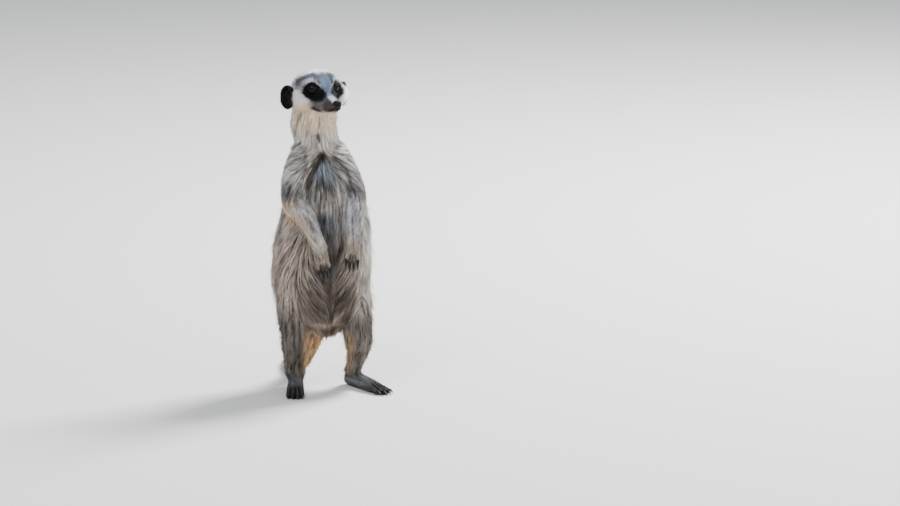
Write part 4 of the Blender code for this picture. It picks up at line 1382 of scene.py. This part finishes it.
def grain(tree, stretch, size, on_map):
    """Noise between 0 and 1 with grains of a size in millimetres, or drawn out on the map."""
    if on_map:
        source = tree.nodes.new("ShaderNodeUVMap")
        source.uv_map = "OFBake"
        start = source.outputs["UV"]
    else:
        start = tree.nodes.new("ShaderNodeTexCoord").outputs["Object"]
    scaled = add_node(tree, "ShaderNodeMapping", scale=stretch)
    noise = add_node(tree, "ShaderNodeTexNoise", scale=1 / (size * MM), detail=3)
    tree.links.new(start, scaled.inputs["Vector"])
    tree.links.new(scaled.outputs["Vector"], noise.inputs["Vector"])
    return noise.outputs["Fac"]


def between(tree, value, low, high):
    """The value, which runs from about 0.3 to 0.7, spread from low to high."""
    spread = add_node(
        tree, "ShaderNodeMapRange", from_min=0.3, from_max=0.7, to_min=low, to_max=high
    )
    tree.links.new(value, spread.inputs["Value"])
    return spread.outputs["Result"]


def painted_material(name, roughness, gloss, tones, bump, size, stretch=(1, 1, 1), on_map=False):
    """A material in the colours painted on the mesh, with a grain in tone, gloss and relief."""
    made = bpy.data.materials.new(name)
    made.use_nodes = True
    tree = made.node_tree
    shader = tree.nodes["Principled BSDF"]
    shader.inputs["Specular IOR Level"].default_value = gloss
    fac = grain(tree, stretch, size, on_map)
    colour = tree.nodes.new("ShaderNodeAttribute")
    colour.attribute_name = "coat"
    toned = tree.nodes.new("ShaderNodeVectorMath")
    toned.operation = "SCALE"
    tree.links.new(colour.outputs["Color"], toned.inputs[0])
    tree.links.new(between(tree, fac, *tones), toned.inputs["Scale"])
    tree.links.new(toned.outputs["Vector"], shader.inputs["Base Color"])
    tree.links.new(between(tree, fac, *roughness), shader.inputs["Roughness"])
    relief = add_node(tree, "ShaderNodeBump", strength=bump, distance=size * 0.5 * MM)
    tree.links.new(fac, relief.inputs["Height"])
    tree.links.new(relief.outputs["Normal"], shader.inputs["Normal"])
    return made


hide = painted_material("hide", (0.9, 0.7), 0.1, (0.8, 1.2), 0.6, 0.7)
fur = painted_material("fur", (0.75, 0.5), 0.12, (0.72, 1.28), 0.5, 0.4, (1, 0.12, 1), True)
eye_gloss = painted_material("eye_gloss", (0.03, 0.06), 0.11, (0.9, 1.1), 0.02, 0.5)
lid_skin = painted_material("lid_skin", (0.75, 0.55), 0.04, (0.7, 1.3), 0.5, 0.35)
nose_skin = painted_material("nose_skin", (0.6, 0.4), 0.12, (0.7, 1.3), 0.6, 0.45)
ear_skin = painted_material("ear_skin", (0.85, 0.65), 0.06, (0.7, 1.3), 0.5, 0.6)
claw_horn = painted_material("claw_horn", (0.62, 0.4), 0.14, (0.6, 1.5), 0.5, 0.4, (1, 1, 0.2))
whisker_hair = painted_material("whisker_hair", (0.5, 0.3), 0.3, (0.85, 1.1), 0.2, 0.5)


# ---------------------------------------------------------------- making the model

def add_piece(obj, material, slot, *nodes):
    obj.data.materials.append(material)
    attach(obj, "root")
    if nodes:
        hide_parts(*nodes)


def paint_skin(skin):
    """The coat's colours on the skin below it, a little darker and with the same streaks."""
    plain = plainness(skin.points, skin.length)
    tone = (1 + STREAK_CONTRAST * skin.streaks * (1 - plain)) * (0.7 + 0.25 * plain)
    coat_places = skin.points + skin.normals * skin.depth[:, None]
    paint(skin.mesh, body_colours(coat_places, skin.soft_shares) * tone[:, None])


skin = make_skin()
maps = Maps(skin)
map_skin(skin, maps)
paint_skin(skin)
add_piece(skin.object, hide, "coat", *FLESH)
for piece in COAT_PIECES:
    slot = "tail_coat" if piece == "coat_tail" else "coat"
    add_piece(make_coat(skin, maps, piece), fur, slot)
for word in SIDES:
    add_piece(make_eye(word), eye_gloss, "eye", "eye_" + word)
    add_piece(make_lids(word), lid_skin, "coat")
    ear = make_ear(word)
    add_piece(ear, ear_skin, "ear", "ear_" + word)
    add_piece(make_ear_hair(ear, word), fur, "ear")
add_piece(make_nose(), nose_skin, "nose_skin", "nose")
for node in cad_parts:
    if "_claw_" in node:
        add_piece(make_claw(node), claw_horn, "claw", node)
add_piece(make_whiskers(skin), whisker_hair, "coat")


# ---------------------------------------------------------------- floor, lights, camera

FLOOR_HALF, FLOOR_COLOUR, FLOOR_ROUGHNESS = 3, (0.6, 0.6, 0.6, 1), 0.8
# Where each light is in metres, its size and its power; they point at LIT_PLACE.
LIGHTS = {
    "key": ((-1, -2, 2.2), 1.2, 72),
    "fill": ((1.8, -1.8, 0.9), 2, 24),
    "rim": ((1.3, 1, 1.7), 0.8, 200),
}
LIT_PLACE = (0, 0, 0.15)
SKY_COLOUR, SKY_STRENGTH = (0.92, 0.96, 1, 1), 0.6
CAMERA_TURN, CAMERA_RISE = math.radians(-7), math.radians(10)
CAMERA_DISTANCE, SENSOR, FIELD, CLIP_END = 4.5, 36, 0.8154, 30
CAMERA_AIM = (116, 126.3)


def make_floor():
    corners = [(x * FLOOR_HALF, y * FLOOR_HALF, 0) for x, y in ((-1, -1), (1, -1), (1, 1), (-1, 1))]
    mesh = bpy.data.meshes.new("floor")
    mesh.from_pydata(corners, [], [(0, 1, 2, 3)])
    made = bpy.data.materials.new("floor")
    made.use_nodes = True
    shader = made.node_tree.nodes["Principled BSDF"]
    shader.inputs["Base Color"].default_value = FLOOR_COLOUR
    shader.inputs["Roughness"].default_value = FLOOR_ROUGHNESS
    mesh.materials.append(made)
    linked("floor", mesh)


def aim(obj, place, target):
    obj.location = place
    obj.rotation_euler = (Vector(target) - Vector(place)).to_track_quat("-Z", "Y").to_euler()


def add_lights():
    for name, (place, size, power) in LIGHTS.items():
        light = bpy.data.lights.new(name, "AREA")
        light.size, light.energy = size, power
        aim(linked(name, light), place, LIT_PLACE)
    world = bpy.data.worlds.new("studio")
    world.use_nodes = True
    sky = world.node_tree.nodes["Background"]
    sky.inputs["Color"].default_value = SKY_COLOUR
    sky.inputs["Strength"].default_value = SKY_STRENGTH
    bpy.context.scene.world = world


def add_camera():
    a, e = CAMERA_TURN, CAMERA_RISE
    out = np.array((math.sin(a) * math.cos(e), -math.cos(a) * math.cos(e), math.sin(e)))
    across, height = CAMERA_AIM
    target = to_row(np.array((math.cos(a), math.sin(a), 0)) * across + (0, 0, height))
    camera = bpy.data.cameras.new("camera")
    camera.sensor_width = SENSOR
    camera.lens = SENSOR * CAMERA_DISTANCE / FIELD
    camera.clip_end = CLIP_END
    obj = linked("camera", camera)
    aim(obj, target + out * CAMERA_DISTANCE, target)
    bpy.context.scene.camera = obj


make_floor()
add_lights()
add_camera()
